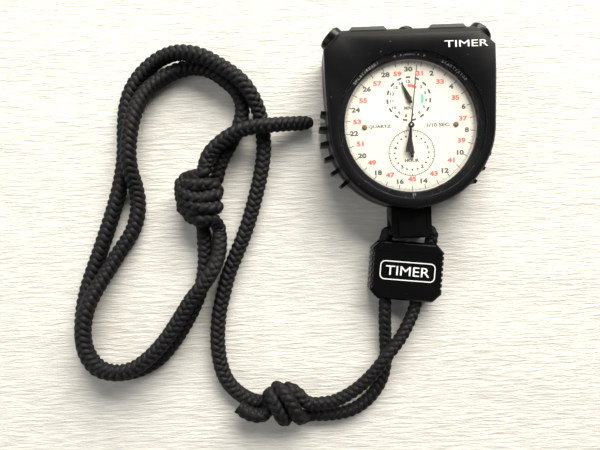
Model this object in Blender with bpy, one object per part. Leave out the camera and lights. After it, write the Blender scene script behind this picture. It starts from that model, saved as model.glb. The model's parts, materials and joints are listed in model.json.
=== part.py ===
# A quartz hand stopwatch on a braided neck cord, as separate pieces at rest.
# Metres. The back rests on z = 0, the dial's axis is Z, and 12 o'clock is +Y.
import math

import bmesh
import bpy
from mathutils import Vector

MM = 0.001

# Fits
CLEARANCE = 0.3 * MM
PIVOT_PLAY = 0.08 * MM

# Case
CASE_RADIUS = 30.1 * MM
CASE_HALF_WIDTH = CASE_RADIUS + 0.8 * MM
CASE_TOP = CASE_RADIUS + 5.1 * MM
CASE_THICKNESS = 17.5 * MM
CORNER = 6.5 * MM
PARTING = 9.0 * MM
FLOOR = 1.6 * MM
BORE_RADIUS = CASE_RADIUS - 1.9 * MM
FACE_OPENING = BORE_RADIUS - 1.5 * MM
FACE_BEVEL = 3.0 * MM
EDGE_BEVEL = 0.8 * MM
BACK_BEVEL = 1.2 * MM
PAD_INNER = 7.5 * MM
PAD_OUTER = 21.5 * MM
PAD_RISE = 1.2 * MM
RIB_COUNT = 6
RIB_PITCH = math.radians(10.4)
RIB_FIRST = math.radians(12.5)
RIB_WIDTH = 1.9 * MM
RIB_RISE = 3.0 * MM
GASKET_WIDTH = 0.8 * MM
GASKET_HEIGHT = 0.8 * MM

# Corner pushers and the mode button
PUSHER_RADIUS = 4.6 * MM
PUSHER_RISE = 2.7 * MM
PUSHER_TRAVEL = 1.2 * MM
PUSHER_SKIRT = 1.9 * MM
PUSHER_SHIFT = 1.4 * MM  # along the cut corner, towards 12 o'clock
STEM_SHORT_OF_BORE = 0.7 * MM
STEM_DEPTH = math.hypot(CASE_HALF_WIDTH - CORNER / 2, CASE_TOP - CORNER / 2) - BORE_RADIUS - STEM_SHORT_OF_BORE
STEM_RADIUS = 1.3 * MM
SPRING_WIRE = 0.25 * MM
SPRING_WELL = 3.0 * MM
BUTTON_LEVEL = 10.6 * MM
MODE_RADIUS = 2.9 * MM
MODE_RISE = 1.8 * MM
MODE_DEPTH = 4.8 * MM

# Dial side
DIAL_LEVEL = 12.8 * MM
DIAL_THICKNESS = 0.4 * MM
DIAL_OPENING = BORE_RADIUS - 4.0 * MM
RING_TOP = 15.7 * MM
CRYSTAL_THICKNESS = 1.3 * MM
MINUTE_CENTRE = Vector((-0.2, 9.9, 0)) * MM
HOUR_CENTRE = Vector((0.2, -9.9, 0)) * MM
DIAL_SCREW_X = 16.7 * MM
DIAL_SCREW_RADIUS = 1.0 * MM
HAND_THICKNESS = 0.25 * MM
SWEEP_LENGTH = DIAL_OPENING - 2.3 * MM
SWEEP_TAIL = 9.9 * MM
MINUTE_LENGTH = 6.2 * MM
HOUR_LENGTH = 6.0 * MM
# At rest the hands read 4 hours, 59 minutes and 0.6 seconds.
SWEEP_READING = math.radians(7.2)
MINUTE_READING = math.radians(-24)
HOUR_READING = math.radians(-1.2)

# Movement
PLATE_RADIUS = BORE_RADIUS - 1.7 * MM
PLATE_LEVEL = 10.5 * MM
PLATE_THICKNESS = 2.0 * MM
BRIDGE_LEVEL = 4.4 * MM
BRIDGE_THICKNESS = 1.0 * MM
LAYER_LEVEL = 5.8 * MM
LAYER_PITCH = 0.75 * MM
WHEEL_THICKNESS = 0.4 * MM
ARBOR_RADIUS = 0.45 * MM
PILLARS = ((-15.8, 0.0), (9.5, -11.5), (1.5, 18.2))
PILLAR_RADIUS = 1.6 * MM
SCREW_RADIUS = 0.7 * MM
PINION_LEAVES = 6
FIVE_TO_ONE = 30
SIX_TO_ONE = 36
FOUR_TO_ONE = 24
MAIN_MODULE = 0.4 * MM
REGISTER_MODULE = 0.333 * MM
HOUR_MODULE = 0.5 * MM
THIRD_DIRECTION = math.radians(200)
HOUR_IDLER_DIRECTION = math.radians(-105)
ROTOR_AT = Vector((-6.4, 11.1, 0)) * MM
COIL_AT = Vector((-9.5, 16.45, 7.9)) * MM
COIL_ANGLE = math.radians(30)
COIL_LENGTH = 10.0 * MM
MAGNET_RADIUS = 2.2 * MM
BATTERY_AT = Vector((14.5, 10.0, 0)) * MM
BATTERY_RADIUS = 5.8 * MM
BATTERY_HEIGHT = 3.1 * MM
HATCH_RADIUS = 7.0 * MM
BOARD_LEVEL = 2.0 * MM
BOARD_THICKNESS = 0.7 * MM

# Lug, slider and cord
LUG_HALF_WIDTH = 7.5 * MM
LUG_END = CASE_RADIUS + 11.1 * MM
LUG_BOTTOM = 1.6 * MM
LUG_TOP = 10.6 * MM
LUG_HOLE_Y = -CASE_RADIUS - 8.1 * MM
LUG_HOLE_Z = 6.0 * MM
LUG_PANEL = 4.8 * MM
LUG_SCREW_X = 4.2 * MM
SLIDER_AT = Vector((-1.7 * MM, LUG_HOLE_Y - 15.6 * MM, 0))
SLIDER_TURN = math.radians(-6.5)
SLIDER_WIDTH = 27.2 * MM
SLIDER_LENGTH = 22.2 * MM
SLIDER_HEIGHT = 8.6 * MM
SLIDER_CORNER = 3.2 * MM
SLIDER_WALL = 1.2 * MM
SLIDER_CHANNEL = 23.0 * MM
CORD_RADIUS = 2.5 * MM
NECK_CORD_RADIUS = 3.0 * MM

# Routes of the cord's stretches in millimetres, laid out from the middle of the lug's cross hole.
# A wider case moves the loops beside it aside, by all of its growth once past the second figure.
LAID_FROM_Y = -38.2
LAID_BESIDE_X = 30.9
MOVED_ASIDE = (-10, -32)
CORD_ROUTES = {
    "cord_left": [
        (-0.2, -38.2, 6), (-4, -38.2, 6), (-7.6, -38.6, 5.8), (-8.8, -41, 4.9), (-8, -44.4, 4.4),
        (-8.4, -50, 4.5), (-9.2, -57, 4.5), (-9.8, -64, 4.4), (-10.1, -72, 4.2), (-10, -80, 2.9),
        (-10, -88, 2.5), (-12, -96, 2.5), (-17, -103, 2.5), (-24, -107.5, 2.5), (-32.5, -109, 2.5),
        (-41, -108.8, 2.5),
    ],
    "cord_right": [
        (0.2, -38.2, 6), (4, -38.2, 6), (7.6, -38.6, 5.8), (9, -41, 4.9), (8.1, -44.6, 4.4),
        (6.6, -51, 4.6), (4.6, -58, 4.6), (2.5, -65, 4.6), (0, -71.5, 4.9), (-4.8, -79, 6.7),
        (-10.5, -85.5, 8), (-16, -92.5, 7), (-22.5, -98.5, 5.9), (-30, -102.5, 5.5), (-36, -103.4, 5.6),
        (-41, -103.4, 5.8),
    ],
    "neck_outer": [
        (-60, -103, 3.2), (-63.2, -102.1, 3), (-68, -99, 3), (-71.8, -94.6, 3), (-74, -89, 3),
        (-75, -82.5, 3), (-75, -75.5, 3), (-74, -67.5, 3), (-72.2, -60.4, 3), (-70, -53, 3),
        (-67, -46, 3), (-64, -39.3, 3), (-61.2, -32, 3), (-59, -25, 3), (-57, -18, 3),
        (-55.4, -11, 3), (-54.6, -4, 3), (-54.9, 3, 3.2), (-56, 9.5, 4.6), (-58.2, 15, 6.8),
        (-61.4, 19.8, 8), (-65.4, 23.4, 8.2), (-70.2, 26.7, 8.2), (-75.4, 29.7, 8.2), (-80.4, 31.4, 8),
        (-86, 32.2, 6.8), (-91.4, 31.6, 5), (-96.4, 29.4, 3.7), (-101.2, 25.4, 3.1), (-105, 20, 3),
        (-107.4, 13, 3), (-108.3, 5, 3), (-108.6, -3, 3), (-109.4, -10, 3), (-111, -17.5, 3),
        (-113.4, -25.5, 3), (-116.2, -33.5, 3), (-119.4, -42, 3), (-122.3, -49.5, 3), (-125, -57.2, 3),
        (-126.8, -65.2, 3), (-127.5, -74, 3), (-126.4, -81.8, 3), (-122.6, -87.6, 3), (-117, -89.8, 3),
        (-111, -89.9, 3), (-104.5, -88.3, 3), (-98, -84.7, 3), (-92.8, -79.2, 3), (-88.5, -73.2, 3),
        (-85, -67.3, 3), (-82, -61, 3), (-79.8, -54, 3), (-78.9, -47, 3), (-78.9, -41, 3), (-79, -36.3, 3.2),
    ],
    "neck_inner": [
        (-71.9, -11.3, 4), (-70.6, -7.8, 3.5), (-66.8, -1.2, 3.1), (-63.9, 4.4, 3), (-62.4, 11.4, 3),
        (-64.4, 17.8, 3), (-68.9, 22.4, 3), (-74.3, 26.2, 3), (-80.2, 27.8, 3), (-86.4, 26.9, 3),
        (-92, 24.4, 3.1), (-96.8, 21, 3.9), (-100.2, 16.6, 5.4), (-102.3, 11.4, 7.2), (-103.8, 5.4, 8.4),
        (-104.8, -1, 8.8), (-105.3, -7.2, 8.5), (-105.2, -12.6, 6.8), (-104.6, -17.6, 4.4), (-104.2, -23, 3.1),
        (-104.7, -29, 3), (-107, -35.6, 3), (-111.4, -42.2, 3.3), (-115.4, -48.8, 4.6), (-119.8, -56.6, 7),
        (-123, -64.2, 8.8), (-124.4, -73, 9.2), (-123, -80.4, 9.2), (-118.8, -85.8, 9.2), (-112.6, -87.8, 9.2),
        (-106, -86.6, 9.2), (-99.6, -82.4, 9.1), (-93.6, -76.2, 9), (-88.3, -68.8, 9), (-83.4, -61.6, 9.2),
        (-78.4, -55.8, 9.6), (-74.6, -50, 9), (-72.8, -43.8, 6.2), (-72.7, -37.3, 4.2),
    ],
    "free_end": [
        (-76.3, -11.5, 8.7), (-75.9, -9.4, 8.9), (-74.2, -6.4, 9.1), (-71, -3.4, 9.3), (-67.2, -0.8, 9.4),
        (-62.6, 1.4, 9.5), (-57.4, 2.5, 9.4), (-52.4, 3, 8.8), (-46, 3.9, 5.9), (-40, 4.5, 3.6), (-35.1, 4.8, 3.1),
    ],
}
CORD_STEP = 6.5 * MM
CORD_START = 3.4 * MM
KNOTS = {
    "knot_lower": ((-58.7, -112, 0.1), (-41.3, -94.6, 12.6)),
    "knot_upper": ((-89, -36, 0.1), (-70, -12.5, 13.6)),
}
KNOT_ROUND = 2.2 * MM

# Levels that follow from the sizes above
DIAL_TOP = DIAL_LEVEL + DIAL_THICKNESS
PLATE_TOP = PLATE_LEVEL + PLATE_THICKNESS
BRIDGE_TOP = BRIDGE_LEVEL + BRIDGE_THICKNESS
CRYSTAL_LEVEL = RING_TOP + CLEARANCE
FRONT_BOTTOM = PARTING + CLEARANCE
STACK_RADIUS = BORE_RADIUS - CLEARANCE
OUTWARD = math.sqrt(0.5)
ORIGIN = Vector((0, 0, 0))


def between(teeth, module):
    """The distance from a pinion's centre to the centre of the wheel it meshes with."""
    return (PINION_LEAVES + teeth) / 2 * module


def polar(distance, angle):
    return Vector((distance * math.cos(angle), distance * math.sin(angle), 0))


def meeting(start, first, end, second):
    """The point at one distance from start and another from end, on the right going from start to end."""
    apart = end - start
    along = (first**2 - second**2 + apart.length_squared) / (2 * apart.length)
    aside = math.sqrt(first**2 - along**2)
    way = apart.normalized()
    return start + along * way + aside * Vector((way.y, -way.x, 0))


THIRD_AT = polar(between(SIX_TO_ONE, MAIN_MODULE), THIRD_DIRECTION)
STEP_AT = meeting(ROTOR_AT, between(FIVE_TO_ONE, MAIN_MODULE), THIRD_AT, between(FIVE_TO_ONE, MAIN_MODULE))
MINUTE_IDLER_AT = meeting(
    MINUTE_CENTRE, between(SIX_TO_ONE, REGISTER_MODULE), ORIGIN, between(FIVE_TO_ONE, MAIN_MODULE)
)
HOUR_IDLER_AT = MINUTE_IDLER_AT + polar(between(SIX_TO_ONE, REGISTER_MODULE), HOUR_IDLER_DIRECTION)
TRANSFER_AT = meeting(
    HOUR_IDLER_AT, between(FIVE_TO_ONE, MAIN_MODULE), HOUR_CENTRE, between(FOUR_TO_ONE, HOUR_MODULE)
)


def clear_scene():
    for ob in list(bpy.data.objects):
        bpy.data.objects.remove(ob)


def material(name, colour, roughness, metallic=0.0, alpha=1.0):
    made = bpy.data.materials.new(name)
    made.use_nodes = True
    shader = made.node_tree.nodes["Principled BSDF"]
    shader.inputs["Base Color"].default_value = (*colour, 1)
    shader.inputs["Roughness"].default_value = roughness
    shader.inputs["Metallic"].default_value = metallic
    shader.inputs["Alpha"].default_value = alpha
    made.diffuse_color = (*colour, alpha)
    return made


def black_plastic():
    return material("black_plastic", (0.014, 0.014, 0.015), 0.42)


def gloss_plastic():
    return material("gloss_plastic", (0.01, 0.01, 0.011), 0.18)


def clear_plastic():
    return material("clear_plastic", (0.95, 0.96, 0.97), 0.03, 0, 0.2)


def dial_paint():
    return material("dial_paint", (0.78, 0.76, 0.7), 0.55)


def brass():
    return material("brass", (0.75, 0.58, 0.28), 0.32, 1)


def steel():
    return material("steel", (0.55, 0.55, 0.56), 0.3, 1)


def copper():
    return material("copper", (0.72, 0.33, 0.16), 0.35, 1)


def rubber():
    return material("rubber", (0.02, 0.02, 0.02), 0.8)


def green_board():
    return material("green_board", (0.03, 0.19, 0.09), 0.5)


def white_resin():
    return material("white_resin", (0.8, 0.8, 0.77), 0.5)


def cord_fabric():
    return material("cord_fabric", (0.012, 0.012, 0.013), 0.85)


def new_object(name, bm, made=None):
    bmesh.ops.recalc_face_normals(bm, faces=bm.faces)
    mesh = bpy.data.meshes.new(name)
    bm.to_mesh(mesh)
    bm.free()
    ob = bpy.data.objects.new(name, mesh)
    bpy.context.collection.objects.link(ob)
    if made:
        mesh.materials.append(made)
    return ob


def loft(name, rings, made=None):
    """A closed solid through outlines with the same number of points, each an (outline, level) pair."""
    bm = bmesh.new()
    loops = []
    for outline, level in rings:
        loops.append([bm.verts.new((x, y, level)) for x, y in outline])
    for low, high in zip(loops, loops[1:]):
        for i in range(len(low)):
            j = (i + 1) % len(low)
            bm.faces.new((low[i], low[j], high[j], high[i]))
    bm.faces.new(list(reversed(loops[0])))
    bm.faces.new(loops[-1])
    return new_object(name, bm, made)


def prism(name, outline, bottom, top, made=None):
    return loft(name, [(outline, bottom), (outline, top)], made)


def turned(name, profile, made=None, steps=72):
    """A solid of revolution about Z from a closed profile of (radius, level) points."""
    bm = bmesh.new()
    columns = []
    for i in range(steps):
        angle = math.tau * i / steps
        x, y = math.cos(angle), math.sin(angle)
        columns.append([bm.verts.new((r * x, r * y, z)) if r else None for r, z in profile])
    axis = [bm.verts.new((0, 0, z)) if not r else None for r, z in profile]
    for i in range(steps):
        here, there = columns[i], columns[(i + 1) % steps]
        for j in range(len(profile)):
            k = (j + 1) % len(profile)
            corners = (here[j] or axis[j], there[j] or axis[j], there[k] or axis[k], here[k] or axis[k])
            face = list(dict.fromkeys(corners))
            if len(face) > 2:
                bm.faces.new(face)
    return new_object(name, bm, made)


def cylinder(name, radius, bottom, top, made=None, steps=32):
    circle = [(radius * math.cos(math.tau * i / steps), radius * math.sin(math.tau * i / steps)) for i in range(steps)]
    return prism(name, circle, bottom, top, made)


def tube_ring(name, inner, outer, bottom, top, made=None, steps=64):
    return turned(name, [(inner, bottom), (outer, bottom), (outer, top), (inner, top)], made, steps)


def box(name, low, high, made=None):
    outline = [(low[0], low[1]), (high[0], low[1]), (high[0], high[1]), (low[0], high[1])]
    return prism(name, outline, low[2], high[2], made)


def place(ob, location=(0, 0, 0), towards=None, turn=0.0):
    ob.location = location
    if towards is not None:
        ob.rotation_euler = Vector(towards).to_track_quat("Z", "Y").to_euler()
    else:
        ob.rotation_euler = (0, 0, turn)
    return ob


def as_tool(ob):
    ob.hide_render = True
    ob.display_type = "WIRE"
    return ob


def combine(ob, tool, operation):
    step = ob.modifiers.new(tool.name, "BOOLEAN")
    step.operation = operation
    step.object = as_tool(tool)
    return ob


def cut(ob, *tools):
    for tool in tools:
        combine(ob, tool, "DIFFERENCE")
    return ob


def add(ob, *tools):
    for tool in tools:
        combine(ob, tool, "UNION")
    return ob


def bevel(ob, width, segments=2):
    step = ob.modifiers.new("bevel", "BEVEL")
    step.width = width
    step.segments = segments
    step.limit_method = "ANGLE"
    return ob


def smooth(ob, degrees=35):
    ob.data.shade_smooth()
    ob.data.set_sharp_from_angle(angle=math.radians(degrees))
    return ob


def arc(radius, start, end, count, centre=(0, 0)):
    points = []
    for i in range(count):
        angle = start + (end - start) * i / (count - 1)
        points.append((centre[0] + radius * math.cos(angle), centre[1] + radius * math.sin(angle)))
    return points


def case_outline(inset=0.0, top_inset=None, pads=0.0):
    """Square shoulders with cut corners over a round lower half."""
    top = CASE_TOP - (inset if top_inset is None else top_inset)
    half = CASE_HALF_WIDTH - inset
    corner = CORNER - 0.6 * (CASE_TOP - top - inset) if top_inset else CORNER
    lower = arc(CASE_RADIUS - inset, math.pi, math.tau, 41)
    right = [(half, 0.6 * CASE_RADIUS), (half, top - corner), (half - corner, top)]
    pad = [(PAD_OUTER, top), (PAD_OUTER - pads, top + pads), (PAD_INNER + pads, top + pads), (PAD_INNER, top)]
    upper = right + (pad if pads else [])
    return lower + upper + [(-x, y) for x, y in reversed(upper)]


def pusher_frame(side):
    """Where a pusher's axis meets its cut corner, and its outward direction."""
    middle = Vector((side * (CASE_HALF_WIDTH - CORNER / 2), CASE_TOP - CORNER / 2, BUTTON_LEVEL))
    middle += Vector((-side * OUTWARD, OUTWARD, 0)) * PUSHER_SHIFT
    return middle, Vector((side * OUTWARD, OUTWARD, 0))


def pusher_wells(name):
    """The stepped holes for both corner pushers and the mode button, as cutting tools."""
    tools = []
    depth = PUSHER_SKIRT + PUSHER_TRAVEL + CLEARANCE
    profile = [
        (0, -STEM_DEPTH - 2 * MM), (STEM_RADIUS + CLEARANCE, -STEM_DEPTH - 2 * MM),
        (STEM_RADIUS + CLEARANCE, -depth - SPRING_WELL), (2.9 * MM, -depth - SPRING_WELL),
        (2.9 * MM, -depth), (PUSHER_RADIUS + CLEARANCE, -depth),
        (PUSHER_RADIUS + CLEARANCE, 6 * MM), (0, 6 * MM),
    ]
    for side in (-1, 1):
        middle, outward = pusher_frame(side)
        tool = turned(f"{name}_pusher_well_{side}", profile, steps=24)
        tools.append(place(tool, middle, outward))
    mode = [
        (0, -8 * MM), (1.1 * MM, -8 * MM), (1.1 * MM, -MODE_DEPTH), (MODE_RADIUS + CLEARANCE, -MODE_DEPTH),
        (MODE_RADIUS + CLEARANCE, 3 * MM), (0, 3 * MM),
    ]
    tool = turned(f"{name}_mode_well", mode, steps=16)
    tools.append(place(tool, (0, CASE_TOP, BUTTON_LEVEL), (0, 1, 0)))
    return tools


def case_screw_places():
    return [(side * (CASE_HALF_WIDTH - 5.3 * MM), CASE_TOP - 11 * MM) for side in (-1, 1)]


def rear_case():
    outer = case_outline(pads=PAD_RISE)
    inner = case_outline(BACK_BEVEL, pads=PAD_RISE)
    ob = loft("rear_case", [(inner, 0), (outer, BACK_BEVEL), (outer, PARTING)], black_plastic())
    add(ob, grip_ribs())
    cavity = [
        (0, FLOOR), (BORE_RADIUS, FLOOR), (BORE_RADIUS, PARTING - GASKET_HEIGHT - CLEARANCE),
        (BORE_RADIUS + GASKET_WIDTH + CLEARANCE, PARTING - GASKET_HEIGHT - CLEARANCE),
        (BORE_RADIUS + GASKET_WIDTH + CLEARANCE, PARTING + MM), (0, PARTING + MM),
    ]
    hatch = cylinder("hatch_hole", HATCH_RADIUS + CLEARANCE, -MM, FLOOR + MM, steps=32)
    cut(ob, turned("rear_cavity", cavity, steps=64), place(hatch, BATTERY_AT))
    for i, (x, y) in enumerate(case_screw_places()):
        seat = [(0, -MM), (1.9 * MM, -MM), (1.9 * MM, 1.5 * MM), (1.1 * MM, 1.5 * MM), (1.1 * MM, 12 * MM), (0, 12 * MM)]
        cut(ob, place(turned(f"case_screw_seat_{i}", seat, steps=16), (x, y, 0)))
    cut(ob, *pusher_wells("rear"), *lug_screw_holes("rear"))
    return ob


def grip_ribs():
    """Six ribs on each side, in one tool."""
    bm = bmesh.new()
    for side in (-1, 1):
        for i in range(RIB_COUNT):
            angle = RIB_FIRST - i * RIB_PITCH
            along = Vector((side * math.cos(angle), math.sin(angle), 0))
            across = Vector((-along.y, along.x, 0))
            near, far = CASE_RADIUS - MM, CASE_RADIUS + RIB_RISE
            corners = []
            for level in (1.5 * MM, PARTING - 0.4 * MM):
                for reach, half in ((near, 0.5), (far, 0.32), (far, -0.32), (near, -0.5)):
                    spot = along * reach + across * half * RIB_WIDTH
                    corners.append(bm.verts.new((spot.x, spot.y, level)))
            bm.faces.new(corners[:4])
            bm.faces.new(corners[4:])
            for j in range(4):
                k = (j + 1) % 4
                bm.faces.new((corners[j], corners[k], corners[k + 4], corners[j + 4]))
    return new_object("grip_ribs", bm)


def front_case():
    shoulder = CASE_THICKNESS - FACE_BEVEL
    ob = prism("front_case", case_outline(pads=PAD_RISE), FRONT_BOTTOM, shoulder, black_plastic())
    rings = [
        (case_outline(), shoulder - MM / 2),
        (case_outline(), shoulder),
        (case_outline(0.02 * MM, FACE_BEVEL * 0.72), shoulder + FACE_BEVEL * 0.72),
        (case_outline(EDGE_BEVEL, FACE_BEVEL), CASE_THICKNESS),
    ]
    add(ob, loft("front_face", rings))
    bore = [
        (0, PARTING - MM), (BORE_RADIUS, PARTING - MM), (BORE_RADIUS, RING_TOP + PIVOT_PLAY),
        (FACE_OPENING, RING_TOP + PIVOT_PLAY), (FACE_OPENING, CASE_THICKNESS + MM), (0, CASE_THICKNESS + MM),
    ]
    cut(ob, turned("front_bore", bore, steps=64), *pusher_wells("front"))
    for i, (x, y) in enumerate(case_screw_places()):
        hole = cylinder(f"front_screw_hole_{i}", 0.8 * MM + PIVOT_PLAY, PARTING - MM, 14 * MM, steps=12)
        cut(ob, place(hole, (x, y, 0)))
    return ob


def case_screws():
    profile = [
        (0, 0.5 * MM), (0.8 * MM, 0.5 * MM), (0.8 * MM, 0.25 * MM), (1.6 * MM, 0.25 * MM),
        (1.6 * MM, 1.2 * MM), (0.8 * MM, 1.2 * MM), (0.8 * MM, 13.5 * MM), (0, 13.5 * MM),
    ]
    for name, (x, y) in zip(("case_screw_left", "case_screw_right"), case_screw_places()):
        place(smooth(turned(name, profile, steel(), 12)), (x, y, 0))


def case_gasket():
    inner = BORE_RADIUS
    return tube_ring("case_gasket", inner, inner + GASKET_WIDTH, PARTING - GASKET_HEIGHT, PARTING, rubber())


def crystal():
    bottom, top = CRYSTAL_LEVEL, CRYSTAL_LEVEL + CRYSTAL_THICKNESS
    edge = 0.3 * MM
    radius = FACE_OPENING - 0.1 * MM
    profile = [(0, bottom), (radius, bottom), (radius, top - edge), (radius - edge, top), (0, top)]
    return smooth(turned("crystal", profile, clear_plastic(), 64))


def legend_ring():
    bottom = DIAL_TOP + CLEARANCE
    profile = [
        (DIAL_OPENING, bottom), (STACK_RADIUS, bottom), (STACK_RADIUS, RING_TOP),
        (DIAL_OPENING + 0.4 * MM, RING_TOP), (DIAL_OPENING, RING_TOP - 0.4 * MM),
    ]
    return smooth(turned("legend_ring", profile, black_plastic(), 64))


def dial():
    ob = cylinder("dial", STACK_RADIUS, DIAL_LEVEL, DIAL_TOP, dial_paint(), 64)
    holes = [(ORIGIN, 0.8 * MM), (MINUTE_CENTRE, 0.8 * MM), (HOUR_CENTRE, 0.8 * MM)]
    holes += [(Vector((side * DIAL_SCREW_X, 0, 0)), 0.6 * MM + PIVOT_PLAY) for side in (-1, 1)]
    for i, (centre, radius) in enumerate(holes):
        cut(ob, place(cylinder(f"dial_hole_{i}", radius, DIAL_LEVEL - MM, DIAL_TOP + MM, steps=12), centre))
    return ob


def dial_screws():
    head = DIAL_TOP + 0.05 * MM
    profile = [
        (0, PLATE_TOP - MM), (0.6 * MM, PLATE_TOP - MM), (0.6 * MM, head), (DIAL_SCREW_RADIUS, head),
        (DIAL_SCREW_RADIUS, head + 0.2 * MM), (0.7 * MM, head + 0.35 * MM), (0, head + 0.35 * MM),
    ]
    for side, name in ((-1, "dial_screw_left"), (1, "dial_screw_right")):
        place(smooth(turned(name, profile, brass(), 12)), (side * DIAL_SCREW_X, 0, 0))


def hand(name, outline, boss, level, centre, reading, made):
    """A flat hand with its boss, its origin on its axis. Readings go clockwise."""
    ob = prism(name, outline, level, level + HAND_THICKNESS, made)
    top = level + HAND_THICKNESS + 0.35 * MM
    add(ob, cylinder(f"{name}_boss", boss, level - 0.1 * MM, top, steps=16))
    shaft = cylinder(f"{name}_bore", ARBOR_RADIUS + PIVOT_PLAY, level - MM, top - 0.2 * MM, steps=12)
    cut(ob, shaft)
    place(ob, centre, turn=-reading)
    for tool in (bpy.data.objects[f"{name}_boss"], bpy.data.objects[f"{name}_bore"]):
        place(tool, centre)
    return ob


def sweep_hand():
    half, tail = 0.22 * MM, 1.05 * MM
    outline = [
        (-0.12 * MM, SWEEP_LENGTH), (-half, 3 * MM), (-half * 1.6, 0), (-half * 2, -2 * MM),
        (-tail, -SWEEP_TAIL + 1.5 * MM), (-tail, -SWEEP_TAIL), (tail, -SWEEP_TAIL),
        (tail, -SWEEP_TAIL + 1.5 * MM), (half * 2, -2 * MM), (half * 1.6, 0), (half, 3 * MM),
        (0.12 * MM, SWEEP_LENGTH),
    ]
    return hand("sweep_hand", outline, 1.1 * MM, DIAL_TOP + 1.3 * MM, (0, 0, 0), SWEEP_READING, black_plastic())


def small_hands():
    level = DIAL_TOP + 0.4 * MM
    for name, length, centre, reading in (
        ("minute_hand", MINUTE_LENGTH, MINUTE_CENTRE, MINUTE_READING),
        ("hour_hand", HOUR_LENGTH, HOUR_CENTRE, HOUR_READING),
    ):
        outline = [
            (-0.15 * MM, length), (-0.75 * MM, 0.2 * length), (-0.5 * MM, -0.3 * length),
            (0.5 * MM, -0.3 * length), (0.75 * MM, 0.2 * length), (0.15 * MM, length),
        ]
        hand(name, outline, 0.85 * MM, level, centre, reading, black_plastic())


def layer(index):
    return LAYER_LEVEL + index * LAYER_PITCH


def gear_outline(teeth, module, facing):
    """Straight-sided teeth with generous backlash. One tooth is centred on the angle facing."""
    pitch = math.tau / teeth
    root = module * (teeth / 2 - 1.15)
    tip = module * (teeth / 2 + 0.65)
    points = []
    for i in range(teeth):
        middle = facing + i * pitch
        for radius, share in ((root, -0.2), (tip, -0.08), (tip, 0.08), (root, 0.2)):
            angle = middle + share * pitch
            points.append((radius * math.cos(angle), radius * math.sin(angle)))
    return points


def angle_to(start, end):
    return math.atan2(end.y - start.y, end.x - start.x)


def shared_pinion_facing(teeth):
    """Where a wheel at the hour idler's place has a tooth, so that it meshes with the minute idler's pinion, which
    already has a tooth facing the minute wheel."""
    tooth = angle_to(MINUTE_IDLER_AT, MINUTE_CENTRE)
    towards = angle_to(MINUTE_IDLER_AT, HOUR_IDLER_AT)
    turned_by = (towards - tooth) * PINION_LEAVES / teeth
    return towards + math.pi + math.pi / teeth + turned_by


def arbor(name, at, shaft, gears, made):
    """A shaft from one level to another with its wheels and pinions. Each gear is (teeth, module, layer, mate,
    is_wheel): a pinion has a tooth facing its mate, and a wheel has a gap there. None marks the wheel that shares
    a pinion with another wheel."""
    ob = cylinder(name, ARBOR_RADIUS, shaft[0], shaft[1], made, 12)
    for i, (teeth, module, index, mate, is_wheel) in enumerate(gears):
        facing = angle_to(at, mate) + (math.pi / teeth if is_wheel else 0)
        if is_wheel is None:
            facing = shared_pinion_facing(teeth)
        bottom = layer(index)
        top = bottom + WHEEL_THICKNESS
        tool = prism(f"{name}_gear_{i}", gear_outline(teeth, module, facing), bottom, top)
        add(ob, place(tool, at))
    place(ob, at)
    return ob


def bridge_shaft(index):
    """A shaft's ends from its pivot in the bridge to just over the layer with this index."""
    return BRIDGE_LEVEL + 0.3 * MM, layer(index) + WHEEL_THICKNESS + 0.1 * MM


def plate_shaft(index):
    """A shaft's ends from just under the layer with this index to its pivot in the main plate."""
    return layer(index) - 0.1 * MM, PLATE_TOP - 0.3 * MM


def dial_shaft(index):
    return layer(index) - 0.1 * MM, DIAL_TOP + 0.75 * MM


def train():
    """The rotor turns the sweep arbor at 1:150, that the minute arbor at 1:30 and the hour arbor at 1:600."""
    leaves = PINION_LEAVES
    sweep = (
        (SIX_TO_ONE, MAIN_MODULE, 2, THIRD_AT, True),
        (leaves, MAIN_MODULE, 3, MINUTE_IDLER_AT, False),
    )
    arbor("sweep_arbor", ORIGIN, (bridge_shaft(2)[0], DIAL_TOP + 1.7 * MM), sweep, steel())
    third = (
        (FIVE_TO_ONE, MAIN_MODULE, 1, STEP_AT, True),
        (leaves, MAIN_MODULE, 2, ORIGIN, False),
    )
    arbor("third_wheel", THIRD_AT, bridge_shaft(2), third, brass())
    step = (
        (FIVE_TO_ONE, MAIN_MODULE, 0, ROTOR_AT, True),
        (leaves, MAIN_MODULE, 1, THIRD_AT, False),
    )
    arbor("step_wheel", STEP_AT, bridge_shaft(1), step, brass())
    minute_idler = (
        (FIVE_TO_ONE, MAIN_MODULE, 3, ORIGIN, True),
        (leaves, REGISTER_MODULE, 4, MINUTE_CENTRE, False),
    )
    arbor("minute_idler", MINUTE_IDLER_AT, plate_shaft(3), minute_idler, brass())
    minute = ((SIX_TO_ONE, REGISTER_MODULE, 4, MINUTE_IDLER_AT, True),)
    arbor("minute_arbor", MINUTE_CENTRE, dial_shaft(4), minute, steel())
    hour_idler = (
        (SIX_TO_ONE, REGISTER_MODULE, 4, MINUTE_IDLER_AT, None),
        (leaves, MAIN_MODULE, 5, TRANSFER_AT, False),
    )
    arbor("hour_idler", HOUR_IDLER_AT, plate_shaft(4), hour_idler, brass())
    transfer = (
        (FIVE_TO_ONE, MAIN_MODULE, 5, HOUR_IDLER_AT, True),
        (leaves, HOUR_MODULE, 3, HOUR_CENTRE, False),
    )
    arbor("transfer_wheel", TRANSFER_AT, plate_shaft(3), transfer, brass())
    hour = ((FOUR_TO_ONE, HOUR_MODULE, 3, TRANSFER_AT, True),)
    arbor("hour_arbor", HOUR_CENTRE, dial_shaft(3), hour, steel())


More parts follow.
